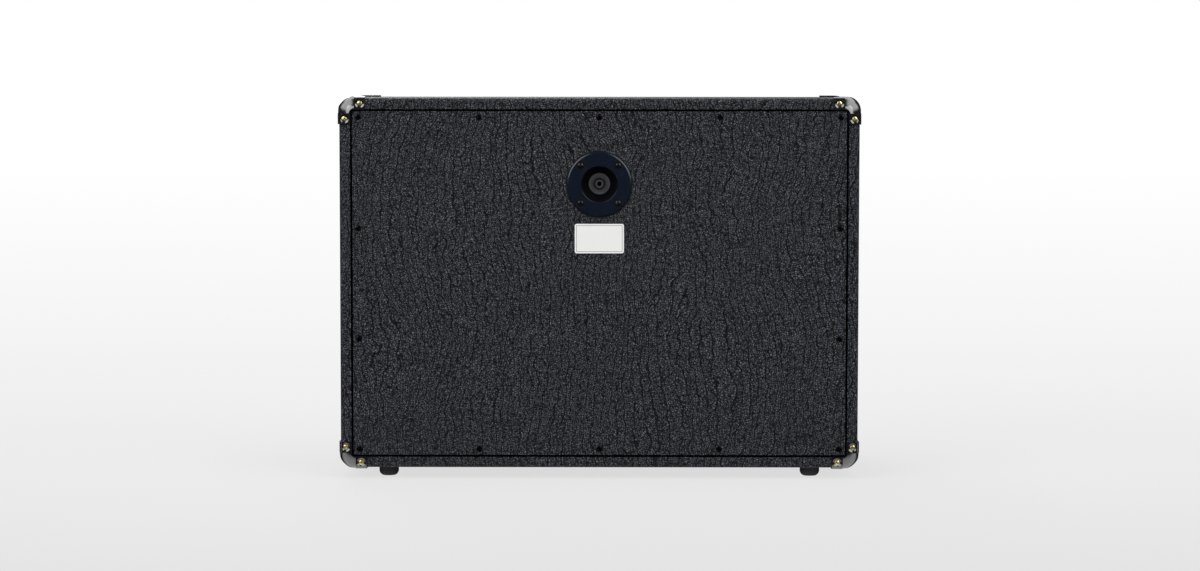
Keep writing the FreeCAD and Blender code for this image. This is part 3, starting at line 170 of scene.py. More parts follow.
def laid_flat(board):
    """Place on whichever flat side of the case the surface belongs to: across, and up or back."""
    coordinates = board.put("ShaderNodeTexCoord").outputs
    x, y, z = board.parts(coordinates["Object"])
    facing_x, facing_y, facing_z = board.parts(board.vector("ABSOLUTE", coordinates["Normal"]))
    on_end = board.math("GREATER_THAN", facing_x, board.math("MAXIMUM", facing_y, facing_z))
    on_top = board.math("GREATER_THAN", facing_z, board.math("MAXIMUM", facing_x, facing_y))

    def either(chosen, first, second):
        turned = board.math("MULTIPLY", chosen, board.math("SUBTRACT", second, first))
        return board.math("ADD", first, turned)

    return board.put("ShaderNodeCombineXYZ", {0: either(on_end, x, y), 1: either(on_top, z, y)}).outputs[0]


def vinyl_grain():
    """Hide-like embossing: round pebbles in streams, parted by thin grooves that run mostly upwards."""
    board, given, gives = effect_group(
        "vinyl_grain",
        {"Pebble": 2.9 * MM, "Cell": 6.8 * MM, "Line Gap": 12 * MM,
         "Lean": 120 * MM, "Sway": 18 * MM, "Shiver": 4 * MM},
        ("Tops", "Grooves", "Ridges", "Height", "Cloud"),
    )
    line_width, fold_width, fold_share = 0.11, 0.1, 0.45
    place = laid_flat(board)
    drift = (0.0, 0.0, 0.0)
    for size, reach in ((250 * MM, given["Lean"]), (30 * MM, given["Sway"]), (8 * MM, given["Shiver"])):
        push = board.vector("SUBTRACT", board.noise(place, size, 1.0).outputs[1], (0.5, 0.5, 0.5))
        drift = board.vector("ADD", board.scaled(push, reach), drift)
    across, along, _ = board.parts(board.vector("ADD", place, drift))

    def groove(distance, width):
        return board.math("SUBTRACT", 1.0, board.step(distance, 0.2 * width, width))

    from_line = board.put("ShaderNodeTexVoronoi", {"W": across, "Scale": board.per(given["Line Gap"])},
                          feature="DISTANCE_TO_EDGE", voronoi_dimensions="1D").outputs["Distance"]
    broken = board.noise(board.vector("MULTIPLY", place, (1.0, 0.28, 0.0)), 16 * MM, 1.0).outputs[0]
    lines = board.math("MULTIPLY", groove(from_line, line_width), board.step(broken, 0.3, 0.4))
    bent = board.put("ShaderNodeCombineXYZ", {0: across, 1: board.math("MULTIPLY", along, 0.6)}).outputs[0]
    folds = groove(board.cells(bent, given["Cell"]), fold_width)
    folds = board.math("MULTIPLY", folds, fold_share)
    grooves = board.math("MAXIMUM", lines, folds)
    ridges = board.math("MULTIPLY", board.step(from_line, 0.04, 0.1),
                        board.math("SUBTRACT", 1.0, board.step(from_line, 0.12, 0.3)))
    streams = board.vector("ADD", place, board.scaled(drift, 0.5))
    pebbles = board.step(board.cells(streams, given["Pebble"]), 0.02, 0.28)
    lumps = board.noise(streams, board.math("MULTIPLY", given["Pebble"], 1.1), 1.0).outputs[0]
    tops = board.math("MULTIPLY", pebbles, board.step(lumps, 0.25, 0.75))
    board.feed(gives["Tops"], tops)
    board.feed(gives["Grooves"], grooves)
    board.feed(gives["Ridges"], ridges)
    relief = board.math("ADD", board.math("MULTIPLY", pebbles, 0.5), board.math("MULTIPLY", ridges, 0.3))
    board.feed(gives["Height"], board.math("SUBTRACT", board.math("ADD", relief, tops), grooves))
    cloud = board.noise(board.vector("MULTIPLY", place, (1.0, 0.3, 0.0)), 30 * MM, 3.0).outputs[0]
    board.feed(gives["Cloud"], board.step(cloud, 0.25, 0.75))
    return board.tree


def moulded_tooth():
    """Moulded plastic: a fine tooth, slow gloss patches, and thin scuffs in mixed directions."""
    board, given, gives = effect_group(
        "moulded_tooth", {"Tooth": 1.2 * MM, "Patch": 20 * MM, "Scuff": 6 * MM},
        ("Tooth", "Patches", "Scuffs"),
    )
    place = board.place()
    board.feed(gives["Tooth"], board.noise(place, given["Tooth"], 3.0).outputs[0])
    board.feed(gives["Patches"], board.noise(place, given["Patch"], 2.0).outputs[0])
    bent = board.scaled(board.noise(place, 50 * MM, 1.0).outputs[1], 60 * MM)
    lines = board.vector("MULTIPLY", board.vector("ADD", place, bent), (1.0, 0.12, 0.2))
    thin = board.noise(lines, given["Scuff"], 4.0, 0.7).outputs[0]
    board.feed(gives["Scuffs"], board.step(thin, 0.62, 0.7))
    return board.tree


def plain_weave():
    """Two sets of threads over and under each other, on the cloth's own UV map in metres."""
    board, given, gives = effect_group("plain_weave", {"Thread": 1.1 * MM}, ("Height", "Fleck", "Slub"))
    cloth = board.put("ShaderNodeUVMap", uv_map="cloth").outputs[0]
    across, along, _ = board.parts(board.scaled(cloth, board.per(given["Thread"])))

    def arch(count):
        return board.math("ABSOLUTE", board.math("SINE", board.math("MULTIPLY", count, math.pi)))

    columns, rows = board.math("FLOOR", across), board.math("FLOOR", along)
    upper = board.math("ABSOLUTE", board.math("MODULO", board.math("ADD", columns, rows), 2.0))
    crossing = board.put("ShaderNodeCombineXYZ", {0: columns, 1: rows}).outputs[0]
    fleck = board.put("ShaderNodeTexWhiteNoise", {"Vector": crossing}, noise_dimensions="2D")
    board.feed(gives["Fleck"], fleck.outputs["Value"])
    arches = board.math("MULTIPLY", arch(across), arch(along))
    board.feed(gives["Height"], board.math("MULTIPLY", arches, board.span(upper, 0.65, 1.0)))
    slub = board.noise(board.vector("MULTIPLY", cloth, (1.0, 12.0, 1.0)), 20 * MM, 3.0).outputs[0]
    board.feed(gives["Slub"], slub)
    return board.tree


# Keeps the bounds between plies off the faces of the boards, as a share of a ply.
PLY_SHIFT = 0.4


def layered_wood():
    """Sanded plywood: figure on the faces, and the plies as bands across the thickness."""
    board, given, gives = effect_group(
        "layered_wood", {"Thickness": (0.0, 0.0, 1.0), "Ply": 1.5 * MM}, ("Figure", "Plies", "Pores")
    )
    place = board.place()
    along = board.vector("MULTIPLY", place, (0.12, 0.3, 1.0))
    figure = board.noise(along, 12 * MM, 4.0, 0.6).outputs[0]
    board.feed(gives["Figure"], board.step(figure, 0.25, 0.75))
    depth = board.math("DIVIDE", board.vector("DOT_PRODUCT", place, given["Thickness"]), given["Ply"])
    ply = board.math("FLOOR", board.math("ADD", depth, PLY_SHIFT))
    board.feed(gives["Plies"], board.math("ABSOLUTE", board.math("MODULO", ply, 2.0)))
    board.feed(gives["Pores"], board.step(board.noise(along, 1.2 * MM, 2.0).outputs[0], 0.6, 0.75))
    return board.tree


GRAIN = vinyl_grain()
TOOTH = moulded_tooth()
WEAVE = plain_weave()
WOOD = layered_wood()


# Finishes
class Finish:
    """A material with its Principled shader and the board to build on."""

    def __init__(self, name, **fixed):
        self.material = bpy.data.materials.new(name)
        self.material.use_nodes = True
        tree = self.material.node_tree
        tree.nodes.clear()
        self.board = NodeBoard(tree)
        self.shader = self.board.put("ShaderNodeBsdfPrincipled")
        self.board.put("ShaderNodeOutputMaterial", {"Surface": self.shader.outputs[0]})
        for name, value in fixed.items():
            self.set(name.replace("_", " "), value)

    def set(self, name, value):
        self.board.feed(self.shader.inputs[name], value)

    def relief(self, height, depth, strength=1.0):
        inputs = {"Height": height, "Distance": depth, "Strength": strength}
        self.set("Normal", self.board.put("ShaderNodeBump", inputs).outputs[0])


# Width of the gap round the back panel, and where the painted shade of the seam fades out on either side of
# it.
SEAM_GAP = 1.6 * MM
SEAM_EDGE_NEAR, SEAM_EDGE_FAR = 0.3 * MM, 1.1 * MM


def painted_seam_shade(board):
    """Painted shade: 1 in the gap round the back panel and on the edges beside it, 0 on the rest of the
    covering.
    """
    (across, depth, up), half = board.from_middle("back_covering")
    past_side = board.math("SUBTRACT", board.math("ABSOLUTE", across), half.x)
    past_end = board.math("SUBTRACT", board.math("ABSOLUTE", up), half.z)
    past_edge = board.math("MAXIMUM", past_side, past_end)
    from_panel = board.step(past_edge, -SEAM_EDGE_FAR, -SEAM_EDGE_NEAR)
    from_case = board.step(past_edge, SEAM_GAP + SEAM_EDGE_FAR, SEAM_GAP + SEAM_EDGE_NEAR)
    at_back = board.step(depth, -20 * MM, -15 * MM)
    return board.math("MULTIPLY", board.math("MULTIPLY", from_panel, from_case), at_back)


def covering_vinyl():
    """Grained vinyl: painted highlights on the pebble tops, painted shade in its grooves, and painted shade
    in the seam between the back panel and the case.
    """
    finish = Finish("covering_vinyl")
    board = finish.board
    grain = board.group(GRAIN)
    body = board.mix(grain["Cloud"], tint(8, 8, 10), tint(12, 12, 14))
    # Pebble tops are painted lighter, and lighter still on the ridges beside the grooves: painted
    # highlight.
    painted_lit_tops = board.math("MULTIPLY", grain["Tops"], board.span(grain["Ridges"], 0.8, 1.0))
    pebbles_painted_lit = board.mix(painted_lit_tops, body, tint(107, 109, 118))
    # Painted shade in the seam round the back panel: near-black colour and no specular there.
    seam = painted_seam_shade(board)
    # The grooves are painted darker, as painted shade in the creases, joined with the seam's painted shade.
    painted_shade = board.math("MAXIMUM", board.math("MULTIPLY", grain["Grooves"], 0.92), seam)
    finish.set("Base Color", board.mix(painted_shade, pebbles_painted_lit, board.mix(seam, tint(5, 5, 6), tint(2, 2, 3))))
    finish.set("Roughness", board.span(grain["Tops"], 0.75, 0.5))
    finish.set("Specular IOR Level", board.span(seam, 0.15, 0.0))
    finish.relief(grain["Height"], 0.5 * MM, 0.8)
    return finish.material


def moulded(name, dark, pale, rough, scuffed, depth, tooth=1.2 * MM, **fixed):
    """A moulded plastic or rubber: tooth in the relief, patches in the gloss, pale scuffs."""
    finish = Finish(name, **fixed)
    board = finish.board
    mould = board.group(TOOTH, Tooth=tooth)
    worn = board.math("MULTIPLY", mould["Scuffs"], scuffed)
    finish.set("Base Color", board.mix(worn, board.mix(mould["Patches"], dark, pale), tint(88, 88, 92)))
    low, high = rough
    finish.set("Roughness", board.math("ADD", board.span(mould["Patches"], low, high),
                                       board.math("MULTIPLY", worn, 0.2)))
    finish.relief(mould["Tooth"], depth)
    return finish.material


def plated(name, dark, pale, rough, metallic=1.0):
    """Plated or blackened metal, with fine handling marks."""
    finish = Finish(name, Metallic=metallic)
    board = finish.board
    mould = board.group(TOOTH, Tooth=0.4 * MM, Patch=3 * MM, Scuff=1.5 * MM)
    finish.set("Base Color", board.mix(mould["Patches"], dark, pale))
    low, high = rough
    finish.set("Roughness", board.math("ADD", board.span(mould["Tooth"], low, high),
                                       board.math("MULTIPLY", mould["Scuffs"], 0.12)))
    finish.relief(mould["Tooth"], 0.02 * MM)
    return finish.material


DISH_FLOOR_RADIUS, DISH_FLOOR_WALL = 15.2 * MM, 2.4 * MM
PLATE_BEVEL = 4 * MM
DULL_RIM_INNER, DULL_RIM_OUTER = 1.3 * MM, 1.0 * MM
HOLLOW_START, HOLLOW_END = 0.3 * MM, 0.5 * MM


def plate_zones(board):
    """Two shares of the jack plate: the flat floor of its dish, and its dull rim and hollows, where the
    hollows' dull black is painted shade.
    """
    (across, depth, up), half = board.from_middle("jack_plate")
    radius = board.vector("LENGTH", board.put("ShaderNodeCombineXYZ", {0: across, 1: up}).outputs[0])
    near_axis = board.math("LESS_THAN", radius, DISH_FLOOR_RADIUS)
    recessed = board.math("MULTIPLY", board.math("LESS_THAN", depth, 0.0),
                          board.math("GREATER_THAN", depth, DISH_FLOOR_WALL / 2 - half.y))
    below_face = board.step(depth, half.y - HOLLOW_START, half.y - HOLLOW_END)
    # Hollows below the plate's face are painted dull black: painted shade.
    hollow_shade = board.math("MULTIPLY", below_face, board.math("LESS_THAN", radius, half.x - PLATE_BEVEL))
    rim = board.step(radius, half.x - DULL_RIM_INNER, half.x - DULL_RIM_OUTER)
    return board.math("MULTIPLY", near_axis, recessed), board.math("MAXIMUM", hollow_shade, rim)


def jack_plate_plastic():
    """Blue-black and polished; dull black at its rim, dull black in its hollows as painted shade, grey on
    its dish's floor.
    """
    finish = Finish("jack_plate_plastic")
    board = finish.board
    mould = board.group(TOOTH, Tooth=0.9 * MM, Patch=15 * MM)
    floor, dull = plate_zones(board)
    gloss_colour = board.mix(mould["Patches"], tint(9, 16, 28), tint(15, 24, 40))
    # Dull black at the rim, and painted shade in the hollows.
    gloss_colour = board.mix(dull, gloss_colour, tint(4, 4, 6))
    finish.set("Base Color", board.mix(floor, gloss_colour, tint(88, 88, 92)))
    worn = board.math("MULTIPLY", mould["Scuffs"], 0.1)
    gloss = board.math("ADD", board.span(mould["Patches"], 0.16, 0.28), worn)
    finish.set("Roughness", board.math("ADD", gloss, board.math("MULTIPLY", dull, 0.35)))
    finish.set("Specular IOR Level", board.span(dull, 0.5, 0.12))
    finish.relief(mould["Tooth"], 0.03 * MM)
    return finish.material


def jack_socket():
    """Black moulded housing with a dull metal bush."""
    finish = Finish("jack_socket")
    board = finish.board
    mould = board.group(TOOTH, Tooth=0.6 * MM)
    _, depth, _ = board.parts(board.place())
    bush = board.math("GREATER_THAN", depth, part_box("jack_nut")[0].y)
    black = board.mix(mould["Patches"], tint(26, 26, 28), tint(40, 40, 42))
    metal = board.mix(mould["Patches"], tint(84, 84, 86), tint(118, 118, 120))
    finish.set("Base Color", board.mix(bush, black, metal))
    finish.set("Metallic", board.math("MULTIPLY", bush, 0.8))
    finish.set("Roughness", board.span(mould["Patches"], 0.36, 0.5))
    finish.relief(mould["Tooth"], 0.03 * MM)
    return finish.material


KEYLINE_INSET, KEYLINE_WIDTH, KEYLINE_EDGE = 2.0 * MM, 1.0 * MM, 0.2 * MM


def blank_label():
    """White label stock with a thin grey keyline and nothing printed inside it."""
    finish = Finish("blank_label")
    board = finish.board
    (across, _, up), half = board.from_middle("rating_label")
    from_side = board.math("SUBTRACT", half.x, board.math("ABSOLUTE", across))
    from_end = board.math("SUBTRACT", half.z, board.math("ABSOLUTE", up))
    inset = board.math("MINIMUM", from_side, from_end)
    inner = KEYLINE_INSET + KEYLINE_WIDTH
    line = board.math("MULTIPLY", board.step(inset, KEYLINE_INSET, KEYLINE_INSET + KEYLINE_EDGE),
                      board.step(inset, inner, inner - KEYLINE_EDGE))
    fibres = board.noise(board.place(), 1.2 * MM, 4.0, 0.7).outputs[0]
    paper = board.mix(fibres, tint(232, 232, 229), tint(243, 243, 241))
    finish.set("Base Color", board.mix(board.math("MULTIPLY", line, 0.85), paper, tint(132, 133, 136)))
    finish.set("Roughness", board.span(fibres, 0.42, 0.58))
    finish.relief(fibres, 0.03 * MM)
    return finish.material


def woven_cloth(name, dark, pale, thread, depth):
    """Cloth of dark yarn with paler flecks, near black where the threads dip: painted shade between the
    threads.
    """
    finish = Finish(name, Sheen_Weight=0.25, Sheen_Roughness=0.5)
    board = finish.board
    weave = board.group(WEAVE, Thread=thread)
    silver = board.math("MULTIPLY", board.step(weave["Fleck"], 0.5, 0.95),
                        board.span(weave["Slub"], 0.5, 1.1))
    yarn = board.mix(silver, dark, pale)
    # Near black where the weave is low: painted shade between the threads.
    finish.set("Base Color", board.mix(board.span(weave["Height"], 0.15, 1.0), tint(4, 4, 5), yarn))
    finish.set("Roughness", board.span(weave["Height"], 0.95, 0.7))
    finish.relief(weave["Height"], depth)
    return finish.material


def doped_cloth():
    """Resin-stiffened fabric of the suspension, woven finely on Object coordinates."""
    finish = Finish("doped_cloth")
    board = finish.board
    place = board.place()
    across, _, up = board.parts(board.scaled(place, 1.0 / MM))
    threads = board.math("MULTIPLY", board.math("SINE", board.math("MULTIPLY", across, math.tau)),
                         board.math("SINE", board.math("MULTIPLY", up, math.tau)))
    resin = board.noise(place, 18 * MM, 3.0).outputs[0]
    cloth = board.mix(resin, tint(88, 66, 40), tint(118, 92, 58))
    finish.set("Base Color", board.mix(board.span(threads, 0.4, 0.6), cloth, tint(66, 50, 32)))
    finish.set("Roughness", board.span(resin, 0.45, 0.75))
    finish.relief(threads, 0.08 * MM)
    return finish.material


def pressed_pulp(name, dark, pale, fibre):
    """Cone paper and gasket board: short fibres pressed flat."""
    finish = Finish(name)
    board = finish.board
    place = board.place()
    fibres = board.noise(board.vector("MULTIPLY", place, (1.0, 1.0, 0.35)), fibre, 4.0, 0.7).outputs[0]
    finish.set("Base Color", board.mix(board.step(fibres, 0.3, 0.7), dark, pale))
    finish.set("Roughness", board.span(fibres, 0.7, 0.95))
    finish.relief(fibres, 0.08 * MM)
    return finish.material


def plywood(name, thickness):
    """Bare plywood whose plies lie across the given way."""
    finish = Finish(name)
    board = finish.board
    wood = board.group(WOOD, Thickness=thickness)
    face = board.mix(wood["Figure"], tint(196, 164, 118), tint(222, 194, 150))
    layered = board.mix(board.math("MULTIPLY", wood["Plies"], 0.35), face, tint(150, 112, 74))
    pores = board.math("MULTIPLY", wood["Pores"], 0.4)
    finish.set("Base Color", board.mix(pores, layered, tint(120, 88, 58)))
    finish.set("Roughness", board.span(wood["Figure"], 0.55, 0.72))
    finish.relief(wood["Pores"], 0.05 * MM)
    return finish.material


WIRE_PITCH = 0.4 * MM


def copper_winding():
    """Fine copper turns, one beside the other along the coil, with painted shade between the turns and
    painted highlight on their crowns.
    """
    finish = Finish("copper_winding", Metallic=1.0)
    board = finish.board
    _, along, _ = board.parts(board.place())
    turns = board.math("SINE", board.math("MULTIPLY", along, math.tau / WIRE_PITCH))
    # Paler on the crown of each turn and darker between turns: painted highlight and painted shade.
    finish.set("Base Color", board.mix(board.span(turns, 0.3, 0.7), tint(120, 58, 28), tint(196, 112, 62)))
    finish.set("Roughness", board.span(turns, 0.45, 0.3))
    finish.relief(turns, 0.1 * MM)
    return finish.material


# Dark and pale colour, range of roughness, share of scuffs and depth of the tooth.
MOULDED = {
    "foot_rubber": (tint(15, 15, 16), tint(24, 24, 25), (0.6, 0.8), 0.2, 0.12 * MM),
    "handle_plastic": (tint(20, 20, 21), tint(29, 29, 31), (0.42, 0.6), 0.2, 0.14 * MM),
    "socket_plastic": (tint(30, 30, 32), tint(44, 44, 46), (0.35, 0.5), 0.1, 0.04 * MM),
    "piping": (tint(214, 206, 184), tint(230, 224, 204), (0.4, 0.55), 0.12, 0.08 * MM),
    "basket_paint": (tint(30, 30, 32), tint(42, 42, 44), (0.35, 0.5), 0.2, 0.05 * MM),
    "magnet_ferrite": (tint(58, 58, 60), tint(76, 76, 78), (0.6, 0.8), 0.3, 0.1 * MM),
    "cable_sheath": (tint(22, 22, 23), tint(32, 32, 33), (0.5, 0.7), 0.1, 0.06 * MM),
}

# Dark and pale colour, range of roughness, and how metallic where that isn't 1.
PLATED = {
    "brass_screw": (tint(244, 220, 132), tint(254, 244, 190), (0.26, 0.42)),
    "black_screw": (tint(9, 9, 10), tint(20, 20, 22), (0.18, 0.32), 0.7),
    "nickel": (tint(176, 174, 168), tint(212, 210, 204), (0.18, 0.36)),
    "pole_steel": (tint(170, 172, 172), tint(204, 204, 200), (0.28, 0.5)),
}

# Dark and pale colour, and the length of a fibre.
PULP = {
    "cone_paper": (tint(70, 68, 65), tint(104, 101, 96), 0.9 * MM),
    "gasket_board": (tint(120, 98, 70), tint(160, 134, 98), 1.4 * MM),
}

FINISHES = {
    "vinyl": covering_vinyl(),
    "corner_plastic": moulded("corner_plastic", tint(9, 9, 10), tint(14, 14, 16), (0.12, 0.2), 0.2,
                              0.015 * MM, Specular_IOR_Level=1.0, IOR=1.7),
    "jack_plate_plastic": jack_plate_plastic(),
    "label_paper": blank_label(),
    "grille_cloth": woven_cloth("grille_cloth", tint(22, 22, 24), tint(128, 128, 132), 1.9 * MM, 0.6 * MM),
    "doped_cloth": doped_cloth(),
    "winding": copper_winding(),
    **{slot: moulded(slot, *look) for slot, look in MOULDED.items()},
    **{slot: plated(slot, *look) for slot, look in PLATED.items()},
    **{slot: pressed_pulp(slot, *look) for slot, look in PULP.items()},
}

# Pieces whose look differs from that of their slot.
OWN_FINISHES = {
    "jack_housing": jack_socket(),
    "jack_nut": moulded("ring_nut", tint(9, 9, 10), tint(16, 16, 17), (0.35, 0.5), 0.1, 0.03 * MM),
    "jack_plate_screws": plated("plate_screw", tint(52, 47, 40), tint(92, 84, 71), (0.22, 0.36)),
    # Near-black cleats darken the gap round the back panel: painted shade in that gap.
    "cleats": moulded("near_black_cleat", tint(14, 13, 13), tint(26, 24, 23), (0.7, 0.9), 0.1,
                      0.1 * MM, tooth=6 * MM),
}

PLYWOOD_BY_THICKNESS = {
    "upright": plywood("plywood_side", (1.0, 0.0, 0.0)),
    "facing": plywood("plywood_face", (0.0, 1.0, 0.0)),
    "level": plywood("plywood_level", (0.0, 0.0, 1.0)),
}


def board_finish(node):
    """The plywood whose plies lie across this board's thinnest way."""
    low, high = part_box(node)
    size = high - low
    thinnest = min(range(3), key=lambda way: size[way])
    return PLYWOOD_BY_THICKNESS[("upright", "facing", "level")[thinnest]]


def finish_of(node):
    """The finish that a piece has of its own, or that of its slot in the record."""
    if node in OWN_FINISHES:
        return OWN_FINISHES[node]
    slot = SLOT_OF[node]
    return board_finish(node) if slot == "plywood" else FINISHES[slot]


def dress(piece, node):
    """Gives a piece the finish of its CAD node."""
    piece.data.materials.clear()
    piece.data.materials.append(finish_of(node))


for node, part in NODES.items():
    dress(part, node)


# Screws
def merged_solids(node):
    """The corner points of each separate solid of a CAD node."""
    mesh = bmesh.new()
    mesh.from_mesh(NODES[node].data)
    bmesh.ops.remove_doubles(mesh, verts=mesh.verts, dist=SAME_POINT)
    waiting = set(mesh.verts)
    solids = []
    while waiting:
        found = [waiting.pop()]
        for vert in found:
            for edge in vert.link_edges:
                other = edge.other_vert(vert)
                if other in waiting:
                    waiting.discard(other)
                    found.append(other)
        solids.append([vert.co.copy() for vert in found])
    mesh.free()
    return solids


def screw_seat(points):
    """Where a screw's head ends, which way it faces, its head radius and its length."""
    low = Vector(min(point[way] for point in points) for way in range(3))
    high = Vector(max(point[way] for point in points) for way in range(3))
    size, centre = high - low, (low + high) / 2
    way = max(range(3), key=lambda index: size[index])

    def reach(end):
        """How far the screw stands off its axis near one end."""
        near = [point for point in points if abs(point[way] - end) < 0.5 * MM]
        offsets = [point - centre for point in near]
        for offset in offsets:
            offset[way] = 0
        return max(offset.length for offset in offsets)

    outward = Vector((0, 0, 0))
    outward[way] = 1.0 if reach(high[way]) > reach(low[way]) else -1.0
    across = [index for index in range(3) if index != way]
    return centre + outward * size[way] / 2, outward, size[across[0]] / 2, size[way]


def geometry_tree(name, sizes, output):
    """A geometry tree with a starting geometry, named sizes and a finish; gives it and its ends."""
    tree = bpy.data.node_groups.new(name, "GeometryNodeTree")
    tree.interface.new_socket("Start", in_out="INPUT", socket_type="NodeSocketGeometry")
    for label, value in sizes.items():
        socket = tree.interface.new_socket(label, in_out="INPUT", socket_type=SOCKETS[type(value)])
        socket.default_value = value
    tree.interface.new_socket("Finish", in_out="INPUT", socket_type="NodeSocketMaterial")
    tree.interface.new_socket(output, in_out="OUTPUT", socket_type="NodeSocketGeometry")
    board = NodeBoard(tree)
    return tree, board, board.put("NodeGroupInput").outputs, board.put("NodeGroupOutput")


def finish_tree(board, geometry, finish, exit_node):
    """Smooth shading that keeps sharp edges, real meshes for instances, and the material."""
    angle = board.put("GeometryNodeInputMeshEdgeAngle").outputs["Unsigned Angle"]
    soft_edge = board.put("FunctionNodeCompare", {0: angle, 1: math.radians(35)}, operation="LESS_THAN")
    real = board.put("GeometryNodeRealizeInstances", {0: geometry}).outputs[0]
    smooth = board.put("GeometryNodeSetShadeSmooth", {"Geometry": real}, domain="FACE").outputs[0]
    smooth = board.put("GeometryNodeSetShadeSmooth",
                       {"Geometry": smooth, "Shade Smooth": soft_edge.outputs[0]}, domain="EDGE").outputs[0]
    done = board.put("GeometryNodeSetMaterial", {"Geometry": smooth, "Material": finish})
    board.feed(exit_node.inputs[0], done.outputs[0])


def screw_tree():
    """A cross-recessed wood screw on each point, head up along the point's own outward way."""
    sizes = {
        "Head Radius": 3.6 * MM, "Head Height": 1.6 * MM, "Rim": 0.3 * MM, "Length": 16 * MM,
        "Shank Radius": 1.5 * MM, "Thread Pitch": 1.2 * MM,
        "Recess Width": 1.1 * MM, "Recess Depth": 1.2 * MM, "Seed": 0,
    }
    recess_share, tip_share, threaded_share, ridge_share = 1.15, 0.35, 0.8, 0.3
    tree, board, given, exit_node = geometry_tree("wood_screw", sizes, "Screws")
    head_radius, head_height = given["Head Radius"], given["Head Height"]
    blank = board.put(
        "GeometryNodeMeshCylinder",
        {"Vertices": 28, "Side Segments": 1, "Fill Segments": 5,
         "Radius": head_radius, "Depth": head_height},
    ).outputs["Mesh"]
    across, along, up = board.parts(board.put("GeometryNodeInputPosition").outputs[0])
    squared = board.math("ADD", board.math("POWER", across, 2.0), board.math("POWER", along, 2.0))
    share = board.math("DIVIDE", squared, board.math("POWER", head_radius, 2.0))
    drop = board.math("MULTIPLY", share, board.math("SUBTRACT", head_height, given["Rim"]))
    on_top = board.math("GREATER_THAN", up, 0.0)
    sink = board.math("ADD", board.math("MULTIPLY", head_height, 0.5), board.math("MULTIPLY", drop, on_top))
    lowered = board.put("ShaderNodeCombineXYZ", {2: board.math("MULTIPLY", sink, -1.0)}).outputs[0]
    head = board.put("GeometryNodeSetPosition", {"Geometry": blank, "Offset": lowered}).outputs[0]

    long_side, short_side = board.math("MULTIPLY", head_radius, recess_share), given["Recess Width"]
    double_depth = board.math("MULTIPLY", given["Recess Depth"], 2.0)
    for width, length in ((long_side, short_side), (short_side, long_side)):
        size = board.put("ShaderNodeCombineXYZ", {0: width, 1: length, 2: double_depth})
        blade = board.put("GeometryNodeMeshCube", {"Size": size.outputs[0]}).outputs["Mesh"]
        cut = board.put("GeometryNodeMeshBoolean", {"Mesh 1": head}, operation="DIFFERENCE")
        board.feed(cut.inputs["Mesh 2"], blade)
        head = cut.outputs["Mesh"]

    under_head = board.math("SUBTRACT", given["Length"], head_height)
    shank = board.put(
        "GeometryNodeMeshCone",
        {"Vertices": 12, "Side Segments": 4, "Radius Top": given["Shank Radius"],
         "Radius Bottom": board.math("MULTIPLY", given["Shank Radius"], tip_share), "Depth": under_head},
    ).outputs["Mesh"]
    tip_depth = board.math("MULTIPLY", given["Length"], -1.0)
    tip = board.put("ShaderNodeCombineXYZ", {2: tip_depth}).outputs[0]
    shank = board.put("GeometryNodeTransform", {"Geometry": shank, "Translation": tip}).outputs[0]
    threaded = board.math("MULTIPLY", under_head, threaded_share)
    spiral = board.put(
        "GeometryNodeCurveSpiral",
        {"Resolution": 10, "Rotations": board.math("DIVIDE", threaded, given["Thread Pitch"]),
         "Start Radius": board.math("MULTIPLY", given["Shank Radius"], 0.5),
         "End Radius": given["Shank Radius"], "Height": threaded},
    ).outputs["Curve"]
    ridge_radius = board.math("MULTIPLY", given["Thread Pitch"], ridge_share)
    ridge = board.put("GeometryNodeCurvePrimitiveCircle", {"Resolution": 3, "Radius": ridge_radius})
    thread = board.put(
        "GeometryNodeCurveToMesh",
        {"Curve": spiral, "Profile Curve": ridge.outputs["Curve"], "Fill Caps": True},
    ).outputs[0]
    thread = board.put("GeometryNodeTransform", {"Geometry": thread, "Translation": tip}).outputs[0]

    screw = board.put("GeometryNodeJoinGeometry")
    for piece in (thread, shank, head):
        board.feed(screw.inputs[0], piece)
    outward = board.put("GeometryNodeInputNamedAttribute", {"Name": "outward"}, data_type="FLOAT_VECTOR")
    upright = board.put("FunctionNodeAlignRotationToVector", {"Vector": outward.outputs["Attribute"]},
                        axis="Z")
    turn = board.put("FunctionNodeRandomValue", {"Seed": given["Seed"]}, data_type="FLOAT")
    board.feed(turn.inputs[3], math.tau)
    spin = board.put("FunctionNodeAxisAngleToRotation", {"Axis": (0, 0, 1), "Angle": turn.outputs[1]})
    driven = board.put(
        "FunctionNodeRotateRotation",
        {0: upright.outputs[0], 1: spin.outputs[0]}, rotation_space="LOCAL",
    )
    placed = board.put(
        "GeometryNodeInstanceOnPoints",
        {"Points": given["Start"], "Instance": screw.outputs[0], "Rotation": driven.outputs[0]},
    )
    finish_tree(board, placed.outputs[0], given["Finish"], exit_node)
    return tree


def set_inputs(modifier, tree, values):
    """Sets a modifier's inputs by the identifiers of the tree's named sockets."""
    for item in tree.interface.items_tree:
        if item.item_type == "SOCKET" and item.in_out == "INPUT" and item.name in values:
            modifier[item.identifier] = values[item.name]


def run_tree(name, mesh, tree, values):
    """A plain mesh piece made by a tree from a starting mesh."""
    maker = bpy.data.objects.new(name + "_maker", mesh)
    bpy.context.scene.collection.objects.link(maker)
    modifier = maker.modifiers.new("make", "NODES")
    modifier.node_group = tree
    set_inputs(modifier, tree, values)
    depsgraph = bpy.context.evaluated_depsgraph_get()
    made = bpy.data.meshes.new_from_object(maker.evaluated_get(depsgraph))
    made.name = name
    maker.modifiers.clear()
    bpy.data.objects.remove(maker)
    piece = bpy.data.objects.new(name, made)
    bpy.context.scene.collection.objects.link(piece)
    return piece


